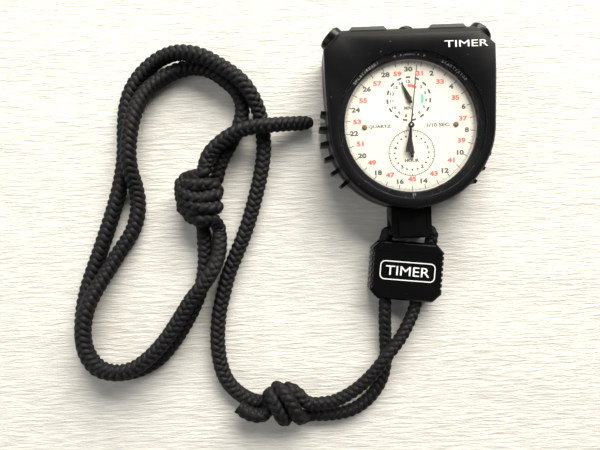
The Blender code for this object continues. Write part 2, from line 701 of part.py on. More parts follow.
def rotor():
    gears = ((PINION_LEAVES, MAIN_MODULE, 0, STEP_AT, False),)
    ob = arbor("rotor", ROTOR_AT, (bridge_shaft(0)[0], layer(1) + MM), gears, steel())
    magnet = cylinder("rotor_magnet", MAGNET_RADIUS, layer(1), layer(1) + 0.7 * MM, steps=24)
    add(ob, place(magnet, ROTOR_AT))
    return ob


def pivot_hole(name, at, bottom, top):
    return place(cylinder(name, ARBOR_RADIUS + PIVOT_PLAY, bottom, top, steps=12), at)


def main_plate():
    ob = cylinder("main_plate", PLATE_RADIUS, PLATE_LEVEL, PLATE_TOP, white_resin(), 64)
    for i, (x, y) in enumerate(PILLARS):
        pillar = cylinder(f"pillar_{i}", PILLAR_RADIUS, BRIDGE_TOP + CLEARANCE, PLATE_LEVEL + MM, steps=16)
        bottom = BRIDGE_TOP + CLEARANCE - MM
        hole = cylinder(f"pillar_hole_{i}", SCREW_RADIUS + PIVOT_PLAY, bottom, PLATE_LEVEL, steps=12)
        add(ob, place(pillar, (x * MM, y * MM, 0)))
        cut(ob, place(hole, (x * MM, y * MM, 0)))
    pivots = (ORIGIN, MINUTE_IDLER_AT, MINUTE_CENTRE, HOUR_IDLER_AT, TRANSFER_AT, HOUR_CENTRE)
    for i, at in enumerate(pivots):
        cut(ob, pivot_hole(f"plate_pivot_{i}", at, PLATE_LEVEL - MM, PLATE_TOP + MM))
    for side in (-1, 1):
        hole = cylinder(f"plate_dial_hole_{side}", 0.6 * MM + PIVOT_PLAY, PLATE_LEVEL - MM, PLATE_TOP + MM, steps=12)
        cut(ob, place(hole, (side * DIAL_SCREW_X, 0, 0)))
    return ob


def train_bridge():
    corners = (
        (-18.2, 0.4), (-17, -2.4), (-9, -6), (6, -13.5), (10, -14), (12, -11.5),
        (3.2, 3.2), (4, 18), (1.6, 20.6), (-1, 18.4), (-2.5, 14.4), (-9, 13.6), (-12, 6),
    )
    outline = [(x * MM, y * MM) for x, y in corners]
    ob = prism("train_bridge", outline, BRIDGE_LEVEL, BRIDGE_TOP, brass())
    for i, at in enumerate((ORIGIN, THIRD_AT, STEP_AT, ROTOR_AT)):
        cut(ob, pivot_hole(f"bridge_pivot_{i}", at, BRIDGE_LEVEL - MM, BRIDGE_TOP + MM))
    for i, (x, y) in enumerate(PILLARS):
        radius = SCREW_RADIUS + PIVOT_PLAY
        hole = cylinder(f"bridge_screw_hole_{i}", radius, BRIDGE_LEVEL - MM, BRIDGE_TOP + MM, steps=12)
        cut(ob, place(hole, (x * MM, y * MM, 0)))
    return ob


def movement_screws():
    head = BRIDGE_LEVEL - 0.05 * MM
    profile = [
        (0, head - 0.7 * MM), (1.3 * MM, head - 0.7 * MM), (1.3 * MM, head), (SCREW_RADIUS, head),
        (SCREW_RADIUS, 8.6 * MM), (0, 8.6 * MM),
    ]
    for i, (x, y) in enumerate(PILLARS):
        place(smooth(turned(f"movement_screw_{i + 1}", profile, steel(), 12)), (x * MM, y * MM, 0))


def coil():
    """The iron core with its winding, over the stator's two legs."""
    half = COIL_LENGTH / 2
    core = box("coil_core", (-half - 2.6 * MM, -MM, -0.4 * MM), (half + 2.6 * MM, MM, 0.4 * MM), steel())
    winding = box("coil_winding", (-half, -2 * MM, -1.7 * MM), (half, 2 * MM, 1.7 * MM), copper())
    bevel(winding, 0.7 * MM, 3)
    gap = 0.1 * MM
    hole = box("winding_hole", (-half - MM, -MM - gap, -0.4 * MM - gap), (half + MM, MM + gap, 0.4 * MM + gap))
    cut(winding, hole)
    for ob in (core, winding, hole):
        place(ob, COIL_AT, turn=COIL_ANGLE)


def stator():
    """A flat plate round the rotor, with a leg under each end of the core."""
    across = Vector((-math.sin(COIL_ANGLE), math.cos(COIL_ANGLE), 0))
    offset = (COIL_AT - ROTOR_AT).dot(across)
    reach = COIL_LENGTH / 2 + 2.4 * MM
    low = 2.7 * MM
    shape = [
        (-reach, -low + MM), (-low, -low), (low, -low), (reach, -low + MM), (reach, offset + MM),
        (reach - 1.9 * MM, offset + MM), (reach - 1.9 * MM, low + 0.2 * MM), (-reach + 1.9 * MM, low + 0.2 * MM),
        (-reach + 1.9 * MM, offset + MM), (-reach, offset + MM),
    ]
    bottom = layer(1) + 0.05 * MM
    ob = prism("stator", shape, bottom, bottom + 0.5 * MM, steel())
    cut(ob, place(cylinder("stator_hole", MAGNET_RADIUS + 0.2 * MM, bottom - MM, bottom + MM, steps=32), ROTOR_AT))
    return place(ob, ROTOR_AT, turn=COIL_ANGLE)


def circuit_board():
    outline = arc(22 * MM, math.radians(104), math.radians(296), 40)
    outline += [(8 * MM, -16 * MM), (5 * MM, -6 * MM), (6 * MM, 4 * MM), (1 * MM, 12 * MM)]
    top = BOARD_LEVEL + BOARD_THICKNESS
    ob = prism("circuit_board", outline, BOARD_LEVEL, top, green_board())
    return ob


def board_parts():
    level = BOARD_LEVEL + BOARD_THICKNESS + 0.05 * MM
    chip = box("timing_chip", (-2.5 * MM, -2.5 * MM, level), (2.5 * MM, 2.5 * MM, level + 0.9 * MM), gloss_plastic())
    place(bevel(chip, 0.15 * MM), Vector((-3, -2, 0)) * MM)
    can = cylinder("quartz_can", 1.1 * MM, -3.1 * MM, 3.1 * MM, steel(), 12)
    place(bevel(can, 0.3 * MM), (-9 * MM, -14.5 * MM, level + 1.15 * MM), (1, -0.35, 0))


def battery():
    bottom = FLOOR + 0.7 * MM
    top = bottom + BATTERY_HEIGHT
    r = BATTERY_RADIUS
    profile = [
        (0, bottom), (r - 0.3 * MM, bottom), (r, bottom + 0.3 * MM), (r, top - 0.6 * MM),
        (r - 0.7 * MM, top - 0.4 * MM), (r - 0.8 * MM, top), (0, top),
    ]
    return place(smooth(turned("battery_cell", profile, steel(), 32)), BATTERY_AT)


def battery_contacts():
    """A strip over the cell with a foot on the board, and a curved arm at its side."""
    top = FLOOR + 0.7 * MM + BATTERY_HEIGHT + 0.15 * MM
    foot = BOARD_LEVEL + BOARD_THICKNESS + 0.1 * MM
    strip, end = 0.25 * MM, BATTERY_RADIUS + 3.8 * MM
    shape = [
        (-end, foot), (1.6 * MM - end, foot), (1.6 * MM - end, foot + strip), (0.5 * MM - end, foot + strip),
        (0.5 * MM - end, top), (1.5 * MM, top), (1.5 * MM, top + strip), (-end, top + strip),
    ]
    minus = prism("battery_contact_minus", shape, -1.2 * MM, 1.2 * MM, brass())
    minus.rotation_euler = (math.pi / 2, 0, 0)
    minus.location = BATTERY_AT
    inner = BATTERY_RADIUS + CLEARANCE
    arm = arc(inner + strip, math.radians(185), math.radians(300), 24)
    arm += arc(inner, math.radians(300), math.radians(185), 24)
    place(prism("battery_contact_plus", arm, FLOOR + 0.9 * MM, FLOOR + 3.2 * MM, brass()), BATTERY_AT)


def battery_cover():
    r = HATCH_RADIUS
    profile = [
        (0, 0.1 * MM), (r - 0.3 * MM, 0.1 * MM), (r, 0.4 * MM), (r, 1.0 * MM), (r - 1.2 * MM, 1.0 * MM),
        (r - 1.2 * MM, 1.9 * MM), (0, 1.9 * MM),
    ]
    ob = smooth(turned("battery_cover", profile, black_plastic(), 32))
    slot = box("coin_slot", (-4 * MM, -0.7 * MM, -MM), (4 * MM, 0.7 * MM, 0.9 * MM))
    cut(place(ob, BATTERY_AT), place(slot, BATTERY_AT))
    seal = tube_ring("battery_cover_seal", r - 1.1 * MM, r - 0.3 * MM, 1.1 * MM, 1.6 * MM, rubber(), 32)
    place(seal, BATTERY_AT)


def pushers():
    """Round caps with domed ends, on stems with a retaining clip inside the case."""
    r, rise, skirt = PUSHER_RADIUS, PUSHER_RISE, PUSHER_SKIRT
    clip_at = -skirt - PUSHER_TRAVEL - SPRING_WELL - 0.9 * MM
    profile = [
        (0, -STEM_DEPTH), (STEM_RADIUS, -STEM_DEPTH), (STEM_RADIUS, clip_at - 0.7 * MM),
        (STEM_RADIUS - 0.4 * MM, clip_at - 0.7 * MM), (STEM_RADIUS - 0.4 * MM, clip_at),
        (STEM_RADIUS, clip_at), (STEM_RADIUS, -skirt), (r, -skirt), (r, rise - 0.7 * MM),
        (r - 0.2 * MM, rise - 0.3 * MM), (r - 0.6 * MM, rise), (0, rise + 0.15 * MM),
    ]
    for side, name in ((1, "start_stop"), (-1, "split_reset")):
        middle, outward = pusher_frame(side)
        place(smooth(turned(f"{name}_pusher", profile, black_plastic(), 24)), middle, outward)
        inner = STEM_RADIUS - 0.4 * MM + PIVOT_PLAY
        clip = tube_ring(f"{name}_clip", inner, STEM_RADIUS + 0.2 * MM, clip_at - 0.6 * MM, clip_at - 0.1 * MM, steel(), 16)
        place(clip, middle, outward)


def spring(name, radius, start, end, turns, at, towards):
    """A coil spring along its own Z."""
    curve = bpy.data.curves.new(name, "CURVE")
    curve.dimensions = "3D"
    curve.bevel_depth = SPRING_WIRE
    curve.bevel_resolution = 1
    curve.use_fill_caps = True
    curve.materials.append(steel())
    per_turn = 9
    count = turns * per_turn + 1
    line = curve.splines.new("POLY")
    line.points.add(count - 1)
    for i, point in enumerate(line.points):
        angle = math.tau * i / per_turn
        level = start + (end - start) * i / (count - 1)
        point.co = (radius * math.cos(angle), radius * math.sin(angle), level, 1)
    ob = bpy.data.objects.new(name, curve)
    bpy.context.collection.objects.link(ob)
    return place(ob, at, towards)


def button_springs():
    depth = PUSHER_SKIRT + PUSHER_TRAVEL + CLEARANCE + SPRING_WELL
    margin = SPRING_WIRE + 0.1 * MM
    for side, name in ((1, "start_stop_spring"), (-1, "split_reset_spring")):
        middle, outward = pusher_frame(side)
        spring(name, 2.2 * MM, -depth + margin, -PUSHER_SKIRT - margin, 4, middle, outward)
    spring("mode_spring", 1.6 * MM, -MODE_DEPTH + margin, -2.2 * MM - margin, 3, (0, CASE_TOP, BUTTON_LEVEL), (0, 1, 0))


def mode_button():
    profile = [
        (0, -6.2 * MM), (0.8 * MM, -6.2 * MM), (0.8 * MM, -2.2 * MM), (MODE_RADIUS, -2.2 * MM),
        (MODE_RADIUS, MODE_RISE - 0.8 * MM), (MODE_RADIUS - 0.4 * MM, MODE_RISE - 0.25 * MM),
        (MODE_RADIUS - MM, MODE_RISE), (0, MODE_RISE + 0.1 * MM),
    ]
    ob = smooth(turned("mode_button", profile, black_plastic(), 16))
    return place(ob, (0, CASE_TOP, BUTTON_LEVEL), (0, 1, 0))


def switch_blades():
    """A springy contact strip just inside the end of each corner pusher's travel."""
    thickness, half = 0.3 * MM, 1.6 * MM
    depth = STEM_DEPTH + PUSHER_TRAVEL + 0.1 * MM + thickness / 2
    low, high = BRIDGE_TOP + CLEARANCE - BUTTON_LEVEL, PLATE_LEVEL + 1.2 * MM - BUTTON_LEVEL
    for side, name in ((1, "start_stop_blade"), (-1, "split_reset_blade")):
        strip = box(name, (-thickness / 2, -half, low), (thickness / 2, half, high), brass())
        middle, outward = pusher_frame(side)
        place(strip, middle - outward * depth, turn=angle_to(ORIGIN, outward))


def lug_screw_holes(name):
    tools = []
    for side in (-1, 1):
        hole = cylinder(f"{name}_lug_hole_{side}", 0.75 * MM, -4 * MM, 8 * MM, steps=16)
        tools.append(place(hole, (side * LUG_SCREW_X, -BORE_RADIUS, 4 * MM), (0, -1, 0)))
    return tools


def lanyard_lug():
    """A block under 6 o'clock with a cross hole for the cord and a raised panel on its front."""
    half = LUG_HALF_WIDTH
    start = math.asin(half / (CASE_RADIUS + CLEARANCE))
    near = arc(CASE_RADIUS + CLEARANCE, 1.5 * math.pi - start, 1.5 * math.pi + start, 13)
    outline = near + [
        (half, -LUG_END + 1.6 * MM), (half - 1.6 * MM, -LUG_END), (-half + 1.6 * MM, -LUG_END),
        (-half, -LUG_END + 1.6 * MM),
    ]
    ob = prism("lanyard_lug", outline, LUG_BOTTOM, LUG_TOP, black_plastic())
    panel = [
        (-LUG_PANEL, -LUG_END + 0.8 * MM), (LUG_PANEL, -LUG_END + 0.8 * MM),
        (LUG_PANEL, -CASE_RADIUS - MM), (-LUG_PANEL, -CASE_RADIUS - MM),
    ]
    add(ob, prism("lug_panel", panel, LUG_TOP - MM, LUG_TOP + 0.9 * MM))
    radius = CORD_RADIUS + CLEARANCE
    profile = [
        (0, -half - MM), (radius + 1.2 * MM, -half - 0.2 * MM), (radius, -half + 1.6 * MM),
        (radius, half - 1.6 * MM), (radius + 1.2 * MM, half + 0.2 * MM), (0, half + MM),
    ]
    hole = turned("lug_cord_hole", profile, steps=32)
    place(hole, (0, LUG_HOLE_Y, LUG_HOLE_Z), (1, 0, 0))
    return cut(ob, hole, *lug_screw_holes("lug"))


def lug_screws():
    profile = [
        (0, -0.9 * MM), (1.3 * MM, -0.9 * MM), (1.3 * MM, -0.1 * MM), (0.65 * MM, -0.1 * MM), (0.65 * MM, 5 * MM),
        (0, 5 * MM),
    ]
    for side, name in ((-1, "lug_screw_left"), (1, "lug_screw_right")):
        drop = BORE_RADIUS - math.sqrt(BORE_RADIUS**2 - (LUG_SCREW_X + 1.3 * MM) ** 2)
        at = (side * LUG_SCREW_X, -BORE_RADIUS + drop, 4 * MM)
        place(smooth(turned(name, profile, steel(), 12)), at, (0, -1, 0))


def slider_outline(inset=0.0, ribs=0.0):
    """Half of it runs up the right side: a cut corner, then ribs, then a cut corner."""
    half, end, corner = SLIDER_WIDTH / 2 - inset, SLIDER_LENGTH / 2 - inset, SLIDER_CORNER
    count = 7
    room = SLIDER_LENGTH - 2 * corner - 1.2 * MM
    pitch = room / count
    right = [(half - corner, -end), (half, -end + corner)]
    for i in range(count):
        base = -room / 2 + i * pitch
        right += [
            (half, base + 0.62 * pitch), (half - ribs, base + 0.7 * pitch),
            (half - ribs, base + 0.92 * pitch), (half, base + pitch),
        ]
    right += [(half, end - corner), (half - corner, end)]
    return right + [(-x, y) for x, y in reversed(right)]


def slider_shells():
    """Two shells round a flat channel that both strands run through."""
    middle = SLIDER_HEIGHT / 2 + CLEARANCE
    side = SLIDER_CHANNEL / 2
    for name, bottom, top, bevelled in (
        ("slider_back", CLEARANCE, middle - CLEARANCE / 2, 0), ("slider_front", middle + CLEARANCE / 2, SLIDER_HEIGHT, 1),
    ):
        edge = 0.8 * MM
        plain, ribbed = slider_outline(edge, 0.2 * MM), slider_outline(0, 0.45 * MM)
        rings = [(ribbed, bottom), (ribbed, top)]
        if bevelled:
            rings = [(ribbed, bottom), (ribbed, top - edge), (plain, top)]
        ob = loft(name, rings, gloss_plastic())
        floor, roof = CLEARANCE + SLIDER_WALL, SLIDER_HEIGHT - SLIDER_WALL
        channel = box(f"{name}_channel", (-side, -20 * MM, floor), (side, 20 * MM, roof))
        cut(ob, channel)
        for piece in (ob, channel):
            place(piece, SLIDER_AT, turn=SLIDER_TURN)


def laid(point):
    """A place on a cord's route, moved with the lug and aside with the width of the case."""
    none, full = MOVED_ASIDE
    share = min(1, max(0, (point[0] - none) / (full - none)))
    aside = share * (LAID_BESIDE_X * MM - CASE_HALF_WIDTH)
    return Vector(point) * MM + Vector((aside, LUG_HOLE_Y - LAID_FROM_Y * MM, 0))


def smooth_route(points):
    """Points along a Catmull-Rom curve through the route."""
    route = [laid(p) for p in points]
    route = [2 * route[0] - route[1]] + route + [2 * route[-1] - route[-2]]
    fine = []
    for a, b, c, d in zip(route, route[1:], route[2:], route[3:]):
        for i in range(12):
            t = i / 12
            fine.append(0.5 * (2 * b + (c - a) * t + (2 * a - 5 * b + 4 * c - d) * t**2 + (3 * b - a - 3 * c + d) * t**3))
    fine.append(route[-2])
    return fine


def even_points(fine, step):
    length = sum((b - a).length for a, b in zip(fine, fine[1:]))
    count = max(3, round(length / step))
    spaced, run, target = [fine[0]], 0.0, length / count
    for a, b in zip(fine, fine[1:]):
        stretch = (b - a).length
        while run + stretch >= target and len(spaced) < count:
            spaced.append(a.lerp(b, (target - run) / stretch))
            target += length / count
        run += stretch
    return spaced + [fine[-1]]


def cord(name, points):
    """One stretch of cord: the two from the lug are drawn thin by the slider."""
    curve = bpy.data.curves.new(name, "CURVE")
    curve.dimensions = "3D"
    curve.bevel_depth = CORD_RADIUS if name.startswith("cord") else NECK_CORD_RADIUS
    curve.bevel_resolution = 2
    curve.use_fill_caps = True
    curve.materials.append(cord_fabric())
    spots = even_points(smooth_route(points), CORD_STEP if len(points) > 16 else CORD_START)
    line = curve.splines.new("POLY")
    line.points.add(len(spots) - 1)
    for point, spot in zip(line.points, spots):
        point.co = (*spot, 1)
    ob = bpy.data.objects.new(name, curve)
    bpy.context.collection.objects.link(ob)
    return ob


def knot(name, low, high):
    return bevel(box(name, laid(low), laid(high), cord_fabric()), KNOT_ROUND, 3)


def build():
    clear_scene()
    rear_case()
    front_case()
    case_screws()
    case_gasket()
    crystal()
    legend_ring()
    dial()
    dial_screws()
    sweep_hand()
    small_hands()
    main_plate()
    train_bridge()
    movement_screws()
    train()
    rotor()
    coil()
    stator()
    circuit_board()
    board_parts()
    battery()
    battery_contacts()
    battery_cover()
    pushers()
    button_springs()
    mode_button()
    switch_blades()
    lanyard_lug()
    lug_screws()
    slider_shells()
    for name, points in CORD_ROUTES.items():
        cord(name, points)
    for name, (low, high) in KNOTS.items():
        knot(name, low, high)


build()
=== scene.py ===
import json
import math

import bmesh
import bpy
import numpy as np
from mathutils import Matrix, Vector


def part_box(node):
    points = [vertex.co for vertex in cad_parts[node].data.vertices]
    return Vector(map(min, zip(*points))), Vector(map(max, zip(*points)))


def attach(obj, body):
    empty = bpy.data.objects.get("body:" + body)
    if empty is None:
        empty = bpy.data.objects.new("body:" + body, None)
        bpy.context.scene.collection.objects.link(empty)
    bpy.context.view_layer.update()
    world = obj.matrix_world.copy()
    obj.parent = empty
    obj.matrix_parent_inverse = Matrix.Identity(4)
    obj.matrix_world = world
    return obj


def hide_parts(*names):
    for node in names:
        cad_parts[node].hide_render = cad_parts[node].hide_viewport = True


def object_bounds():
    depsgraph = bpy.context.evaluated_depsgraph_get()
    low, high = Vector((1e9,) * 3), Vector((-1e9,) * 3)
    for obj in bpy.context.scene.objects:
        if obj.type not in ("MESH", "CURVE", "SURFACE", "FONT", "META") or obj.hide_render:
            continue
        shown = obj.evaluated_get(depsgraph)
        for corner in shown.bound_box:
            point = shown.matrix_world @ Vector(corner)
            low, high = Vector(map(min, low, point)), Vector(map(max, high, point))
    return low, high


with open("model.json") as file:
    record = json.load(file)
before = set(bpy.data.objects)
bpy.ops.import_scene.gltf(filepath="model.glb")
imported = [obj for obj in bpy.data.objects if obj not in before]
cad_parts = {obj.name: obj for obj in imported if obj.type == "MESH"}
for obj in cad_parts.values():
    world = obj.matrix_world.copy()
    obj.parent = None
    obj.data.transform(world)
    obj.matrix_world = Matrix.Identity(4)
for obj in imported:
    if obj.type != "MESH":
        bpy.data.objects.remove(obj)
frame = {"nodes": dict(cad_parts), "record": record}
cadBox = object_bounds()
mm = 0.001
print("frame loaded:", len(frame["nodes"]), "nodes")

# Lengths in the dictionaries are in millimetres, angles in degrees.
cameraView = {"x": -41.6, "y": -34.9, "height": 182.5, "lens": 27.7, "turn": -2.0}


def addObject(name, data):
    piece = bpy.data.objects.new(name, data)
    bpy.context.scene.collection.objects.link(piece)
    return piece


def makeCamera():
    data = bpy.data.cameras.new("viewCamera")
    data.lens = cameraView["lens"]
    data.sensor_width = 36
    data.clip_start, data.clip_end = 0.005, 20
    camera = addObject("viewCamera", data)
    camera.location = Vector((cameraView["x"], cameraView["y"], cameraView["height"])) * mm
    camera.rotation_euler = (0, 0, math.radians(cameraView["turn"]))
    bpy.context.scene.camera = camera


makeCamera()
bpy.context.scene.view_settings.view_transform = "Standard"


# ---- shader groups, built once and shared ----


def startGroup(name, inputs, outputs):
    group = bpy.data.node_groups.new(name, "ShaderNodeTree")
    for label, kind, value in inputs:
        group.interface.new_socket(label, in_out="INPUT", socket_type=kind).default_value = value
    for label, kind in outputs:
        group.interface.new_socket(label, in_out="OUTPUT", socket_type=kind)
    return group, group.nodes.new("NodeGroupInput"), group.nodes.new("NodeGroupOutput")


def joinNodes(tree, *pairs):
    for a, b in pairs:
        tree.links.new(a, b)


def mathNode(tree, operation, a=None, b=None, clamp=False):
    node = tree.nodes.new("ShaderNodeMath")
    node.operation = operation
    node.use_clamp = clamp
    for socket, value in zip(node.inputs, (a, b)):
        if value is None:
            continue
        if isinstance(value, (int, float)):
            socket.default_value = value
        else:
            tree.links.new(value, socket)
    return node.outputs[0]


def noiseNode(tree, vector, scale, detail=3.0, rough=0.55):
    node = tree.nodes.new("ShaderNodeTexNoise")
    node.inputs["Detail"].default_value = detail
    node.inputs["Roughness"].default_value = rough
    if isinstance(scale, (int, float)):
        node.inputs["Scale"].default_value = scale
    else:
        tree.links.new(scale, node.inputs["Scale"])
    tree.links.new(vector, node.inputs["Vector"])
    return node.outputs["Fac"]


def makeMouldGrain():
    # fine spark-eroded grain of moulded plastic, with slow patches of gloss
    group, enter, leave = startGroup(
        "mouldGrain",
        [("Grain Scale", "NodeSocketFloat", 2500.0), ("Patch Scale", "NodeSocketFloat", 90.0)],
        [("Height", "NodeSocketFloat"), ("Patches", "NodeSocketFloat")],
    )
    place = group.nodes.new("ShaderNodeTexCoord").outputs["Object"]
    fine = noiseNode(group, place, enter.outputs["Grain Scale"], 2.0)
    patch = noiseNode(group, place, enter.outputs["Patch Scale"], 4.0, 0.6)
    joinNodes(group, (fine, leave.inputs["Height"]), (patch, leave.inputs["Patches"]))
    return group


def makeEdgeWear():
    # brighter where handling has polished an edge
    group, enter, leave = startGroup(
        "edgeWear",
        [
            ("Radius", "NodeSocketFloat", 0.0004), ("Strength", "NodeSocketFloat", 4.0),
            ("Breakup", "NodeSocketFloat", 300.0),
        ],
        [("Mask", "NodeSocketFloat")],
    )
    soft = group.nodes.new("ShaderNodeBevel")
    soft.samples = 6
    sharp = group.nodes.new("ShaderNodeNewGeometry")
    dot = group.nodes.new("ShaderNodeVectorMath")
    dot.operation = "DOT_PRODUCT"
    joinNodes(
        group, (enter.outputs["Radius"], soft.inputs["Radius"]),
        (soft.outputs["Normal"], dot.inputs[0]), (sharp.outputs["Normal"], dot.inputs[1]),
    )
    bend = mathNode(group, "SUBTRACT", 1.0, dot.outputs["Value"])
    place = group.nodes.new("ShaderNodeTexCoord").outputs["Object"]
    breakup = noiseNode(group, place, enter.outputs["Breakup"])
    stronger = mathNode(group, "MULTIPLY", bend, enter.outputs["Strength"])
    worn = mathNode(group, "MULTIPLY", stronger, breakup, True)
    joinNodes(group, (worn, leave.inputs["Mask"]))
    return group


def makeDust():
    # specks of lint and dust that settle on faces that look up
    group, enter, leave = startGroup(
        "settledDust",
        [("Scale", "NodeSocketFloat", 1400.0), ("Threshold", "NodeSocketFloat", 0.68)],
        [("Mask", "NodeSocketFloat")],
    )
    place = group.nodes.new("ShaderNodeTexCoord").outputs["Object"]
    specks = noiseNode(group, place, enter.outputs["Scale"], 1.0, 0.5)
    above = mathNode(group, "SUBTRACT", specks, enter.outputs["Threshold"])
    sharp = mathNode(group, "MULTIPLY", above, 14.0, True)
    split = group.nodes.new("ShaderNodeSeparateXYZ")
    joinNodes(group, (group.nodes.new("ShaderNodeNewGeometry").outputs["Normal"], split.inputs[0]))
    facing = mathNode(group, "MULTIPLY", split.outputs["Z"], sharp, True)
    joinNodes(group, (facing, leave.inputs["Mask"]))
    return group


def makeBrushed():
    # fine lines left by turning, stamping or brushing a metal
    group, enter, leave = startGroup(
        "brushedLines",
        [("Scale", "NodeSocketFloat", 900.0), ("Stretch", "NodeSocketVector", (1.0, 0.04, 1.0))],
        [("Height", "NodeSocketFloat"), ("Shade", "NodeSocketFloat")],
    )
    place = group.nodes.new("ShaderNodeTexCoord").outputs["Object"]
    stretch = group.nodes.new("ShaderNodeVectorMath")
    stretch.operation = "MULTIPLY"
    joinNodes(group, (place, stretch.inputs[0]), (enter.outputs["Stretch"], stretch.inputs[1]))
    lines = noiseNode(group, stretch.outputs[0], enter.outputs["Scale"], 3.0)
    cloud = noiseNode(group, place, 160.0, 2.0)
    joinNodes(group, (lines, leave.inputs["Height"]), (cloud, leave.inputs["Shade"]))
    return group


shaderGroups = {
    "grain": makeMouldGrain(),
    "wear": makeEdgeWear(),
    "dust": makeDust(),
    "brushed": makeBrushed(),
}


def useGroup(tree, key, **values):
    node = tree.nodes.new("ShaderNodeGroup")
    node.node_tree = shaderGroups[key]
    for label, value in values.items():
        node.inputs[label.replace("_", " ")].default_value = value
    return node


def newMaterial(name, colour, roughness, **sockets):
    material = bpy.data.materials.new(name)
    material.use_nodes = True
    material.diffuse_color = (*colour, 1)
    shader = material.node_tree.nodes["Principled BSDF"]
    shader.inputs["Base Color"].default_value = (*colour, 1)
    shader.inputs["Roughness"].default_value = roughness
    for label, value in sockets.items():
        shader.inputs[label.replace("_", " ")].default_value = value
    return material, material.node_tree, shader


def rangeNode(tree, value, low, high, fromLow=0.0, fromHigh=1.0):
    node = tree.nodes.new("ShaderNodeMapRange")
    node.inputs["From Min"].default_value = fromLow
    node.inputs["From Max"].default_value = fromHigh
    node.inputs["To Min"].default_value = low
    node.inputs["To Max"].default_value = high
    tree.links.new(value, node.inputs["Value"])
    return node.outputs["Result"]


def mixColours(tree, mask, a, b):
    node = tree.nodes.new("ShaderNodeMix")
    node.data_type = "RGBA"
    tree.links.new(mask, node.inputs[0])
    for socket, value in zip((node.inputs[6], node.inputs[7]), (a, b)):
        if isinstance(value, tuple):
            socket.default_value = (*value, 1)
        else:
            tree.links.new(value, socket)
    return node.outputs[2]


def bumpNode(tree, shader, height, distance, strength=1.0):
    bump = tree.nodes.new("ShaderNodeBump")
    bump.inputs["Distance"].default_value = distance
    bump.inputs["Strength"].default_value = strength
    joinNodes(tree, (height, bump.inputs["Height"]), (bump.outputs["Normal"], shader.inputs["Normal"]))


# ---- materials ----

plasticFinishes = {
    "casePlastic": {"colour": (0.003, 0.003, 0.0034), "worn": (0.016, 0.016, 0.017), "rough": (0.28, 0.38),
                    "grain": 2600.0, "depth": 0.00001, "wear": 2.5, "dust": 0.78, "coat": 0.0},
    "pusherPlastic": {"colour": (0.003, 0.003, 0.0034), "worn": (0.02, 0.02, 0.021), "rough": (0.26, 0.38),
                      "grain": 3200.0, "depth": 0.000008, "wear": 4.0, "dust": 0.79, "coat": 0.1},
    "sliderPlastic": {"colour": (0.002, 0.002, 0.0024), "worn": (0.014, 0.014, 0.015), "rough": (0.14, 0.24),
                      "grain": 1500.0, "depth": 0.000003, "wear": 2.5, "dust": 0.78, "coat": 0.15},
    "ringPlastic": {"colour": (0.002, 0.002, 0.0023), "worn": (0.006, 0.006, 0.0065), "rough": (0.24, 0.34),
                    "grain": 2600.0, "depth": 0.000005, "wear": 2.0, "dust": 0.9, "coat": 0.0},
    "movementResin": {"colour": (0.66, 0.66, 0.6), "worn": (0.8, 0.8, 0.76), "rough": (0.4, 0.55),
                      "grain": 2000.0, "depth": 0.00001, "wear": 2.0, "dust": 0.95, "coat": 0.0},
    "sealRubber": {"colour": (0.018, 0.018, 0.018), "worn": (0.05, 0.05, 0.05), "rough": (0.7, 0.85),
                   "grain": 1800.0, "depth": 0.00001, "wear": 1.0, "dust": 0.85, "coat": 0.0},
    "boardMask": {"colour": (0.012, 0.1, 0.035), "worn": (0.05, 0.2, 0.09), "rough": (0.25, 0.4),
                  "grain": 1600.0, "depth": 0.000006, "wear": 2.0, "dust": 0.95, "coat": 0.3},
    "chipResin": {"colour": (0.02, 0.02, 0.021), "worn": (0.08, 0.08, 0.08), "rough": (0.5, 0.62),
                  "grain": 3000.0, "depth": 0.00001, "wear": 2.0, "dust": 0.95, "coat": 0.0},
    "handPaint": {"colour": (0.012, 0.011, 0.010), "worn": (0.06, 0.055, 0.05), "rough": (0.3, 0.42),
                  "grain": 3500.0, "depth": 0.000003, "wear": 2.0, "dust": 0.95, "coat": 0.2},
}
metalFinishes = {
    "springSteel": {"colour": (0.52, 0.52, 0.54), "dull": (0.38, 0.38, 0.40), "rough": (0.24, 0.4)},
    "batteryCase": {"colour": (0.66, 0.66, 0.68), "dull": (0.5, 0.5, 0.52), "rough": (0.16, 0.28)},
    "wheelBrass": {"colour": (0.72, 0.52, 0.22), "dull": (0.5, 0.34, 0.14), "rough": (0.22, 0.36)},
    "bronzeRivet": {"colour": (0.20, 0.135, 0.075), "dull": (0.11, 0.075, 0.045), "rough": (0.35, 0.5)},
    "laminatedIron": {"colour": (0.36, 0.36, 0.37), "dull": (0.22, 0.22, 0.23), "rough": (0.35, 0.5)},
    "magnetSteel": {"colour": (0.25, 0.25, 0.27), "dull": (0.16, 0.16, 0.17), "rough": (0.3, 0.45)},
    "pivotSteel": {"colour": (0.46, 0.46, 0.48), "dull": (0.33, 0.33, 0.35), "rough": (0.2, 0.32)},
}
printColours = {
    "printBlack": (0.008, 0.008, 0.0075),
    "printGrey": (0.03, 0.03, 0.028),
    "printRed": (0.60, 0.03, 0.022),
    "printGreen": (0.02, 0.22, 0.11),
    "printWhite": (0.13, 0.13, 0.125),
    "brightWhite": (0.62, 0.62, 0.60),
}
plasticShine = 0.12
settledDustColour = (0.12, 0.12, 0.115)
materials = {}


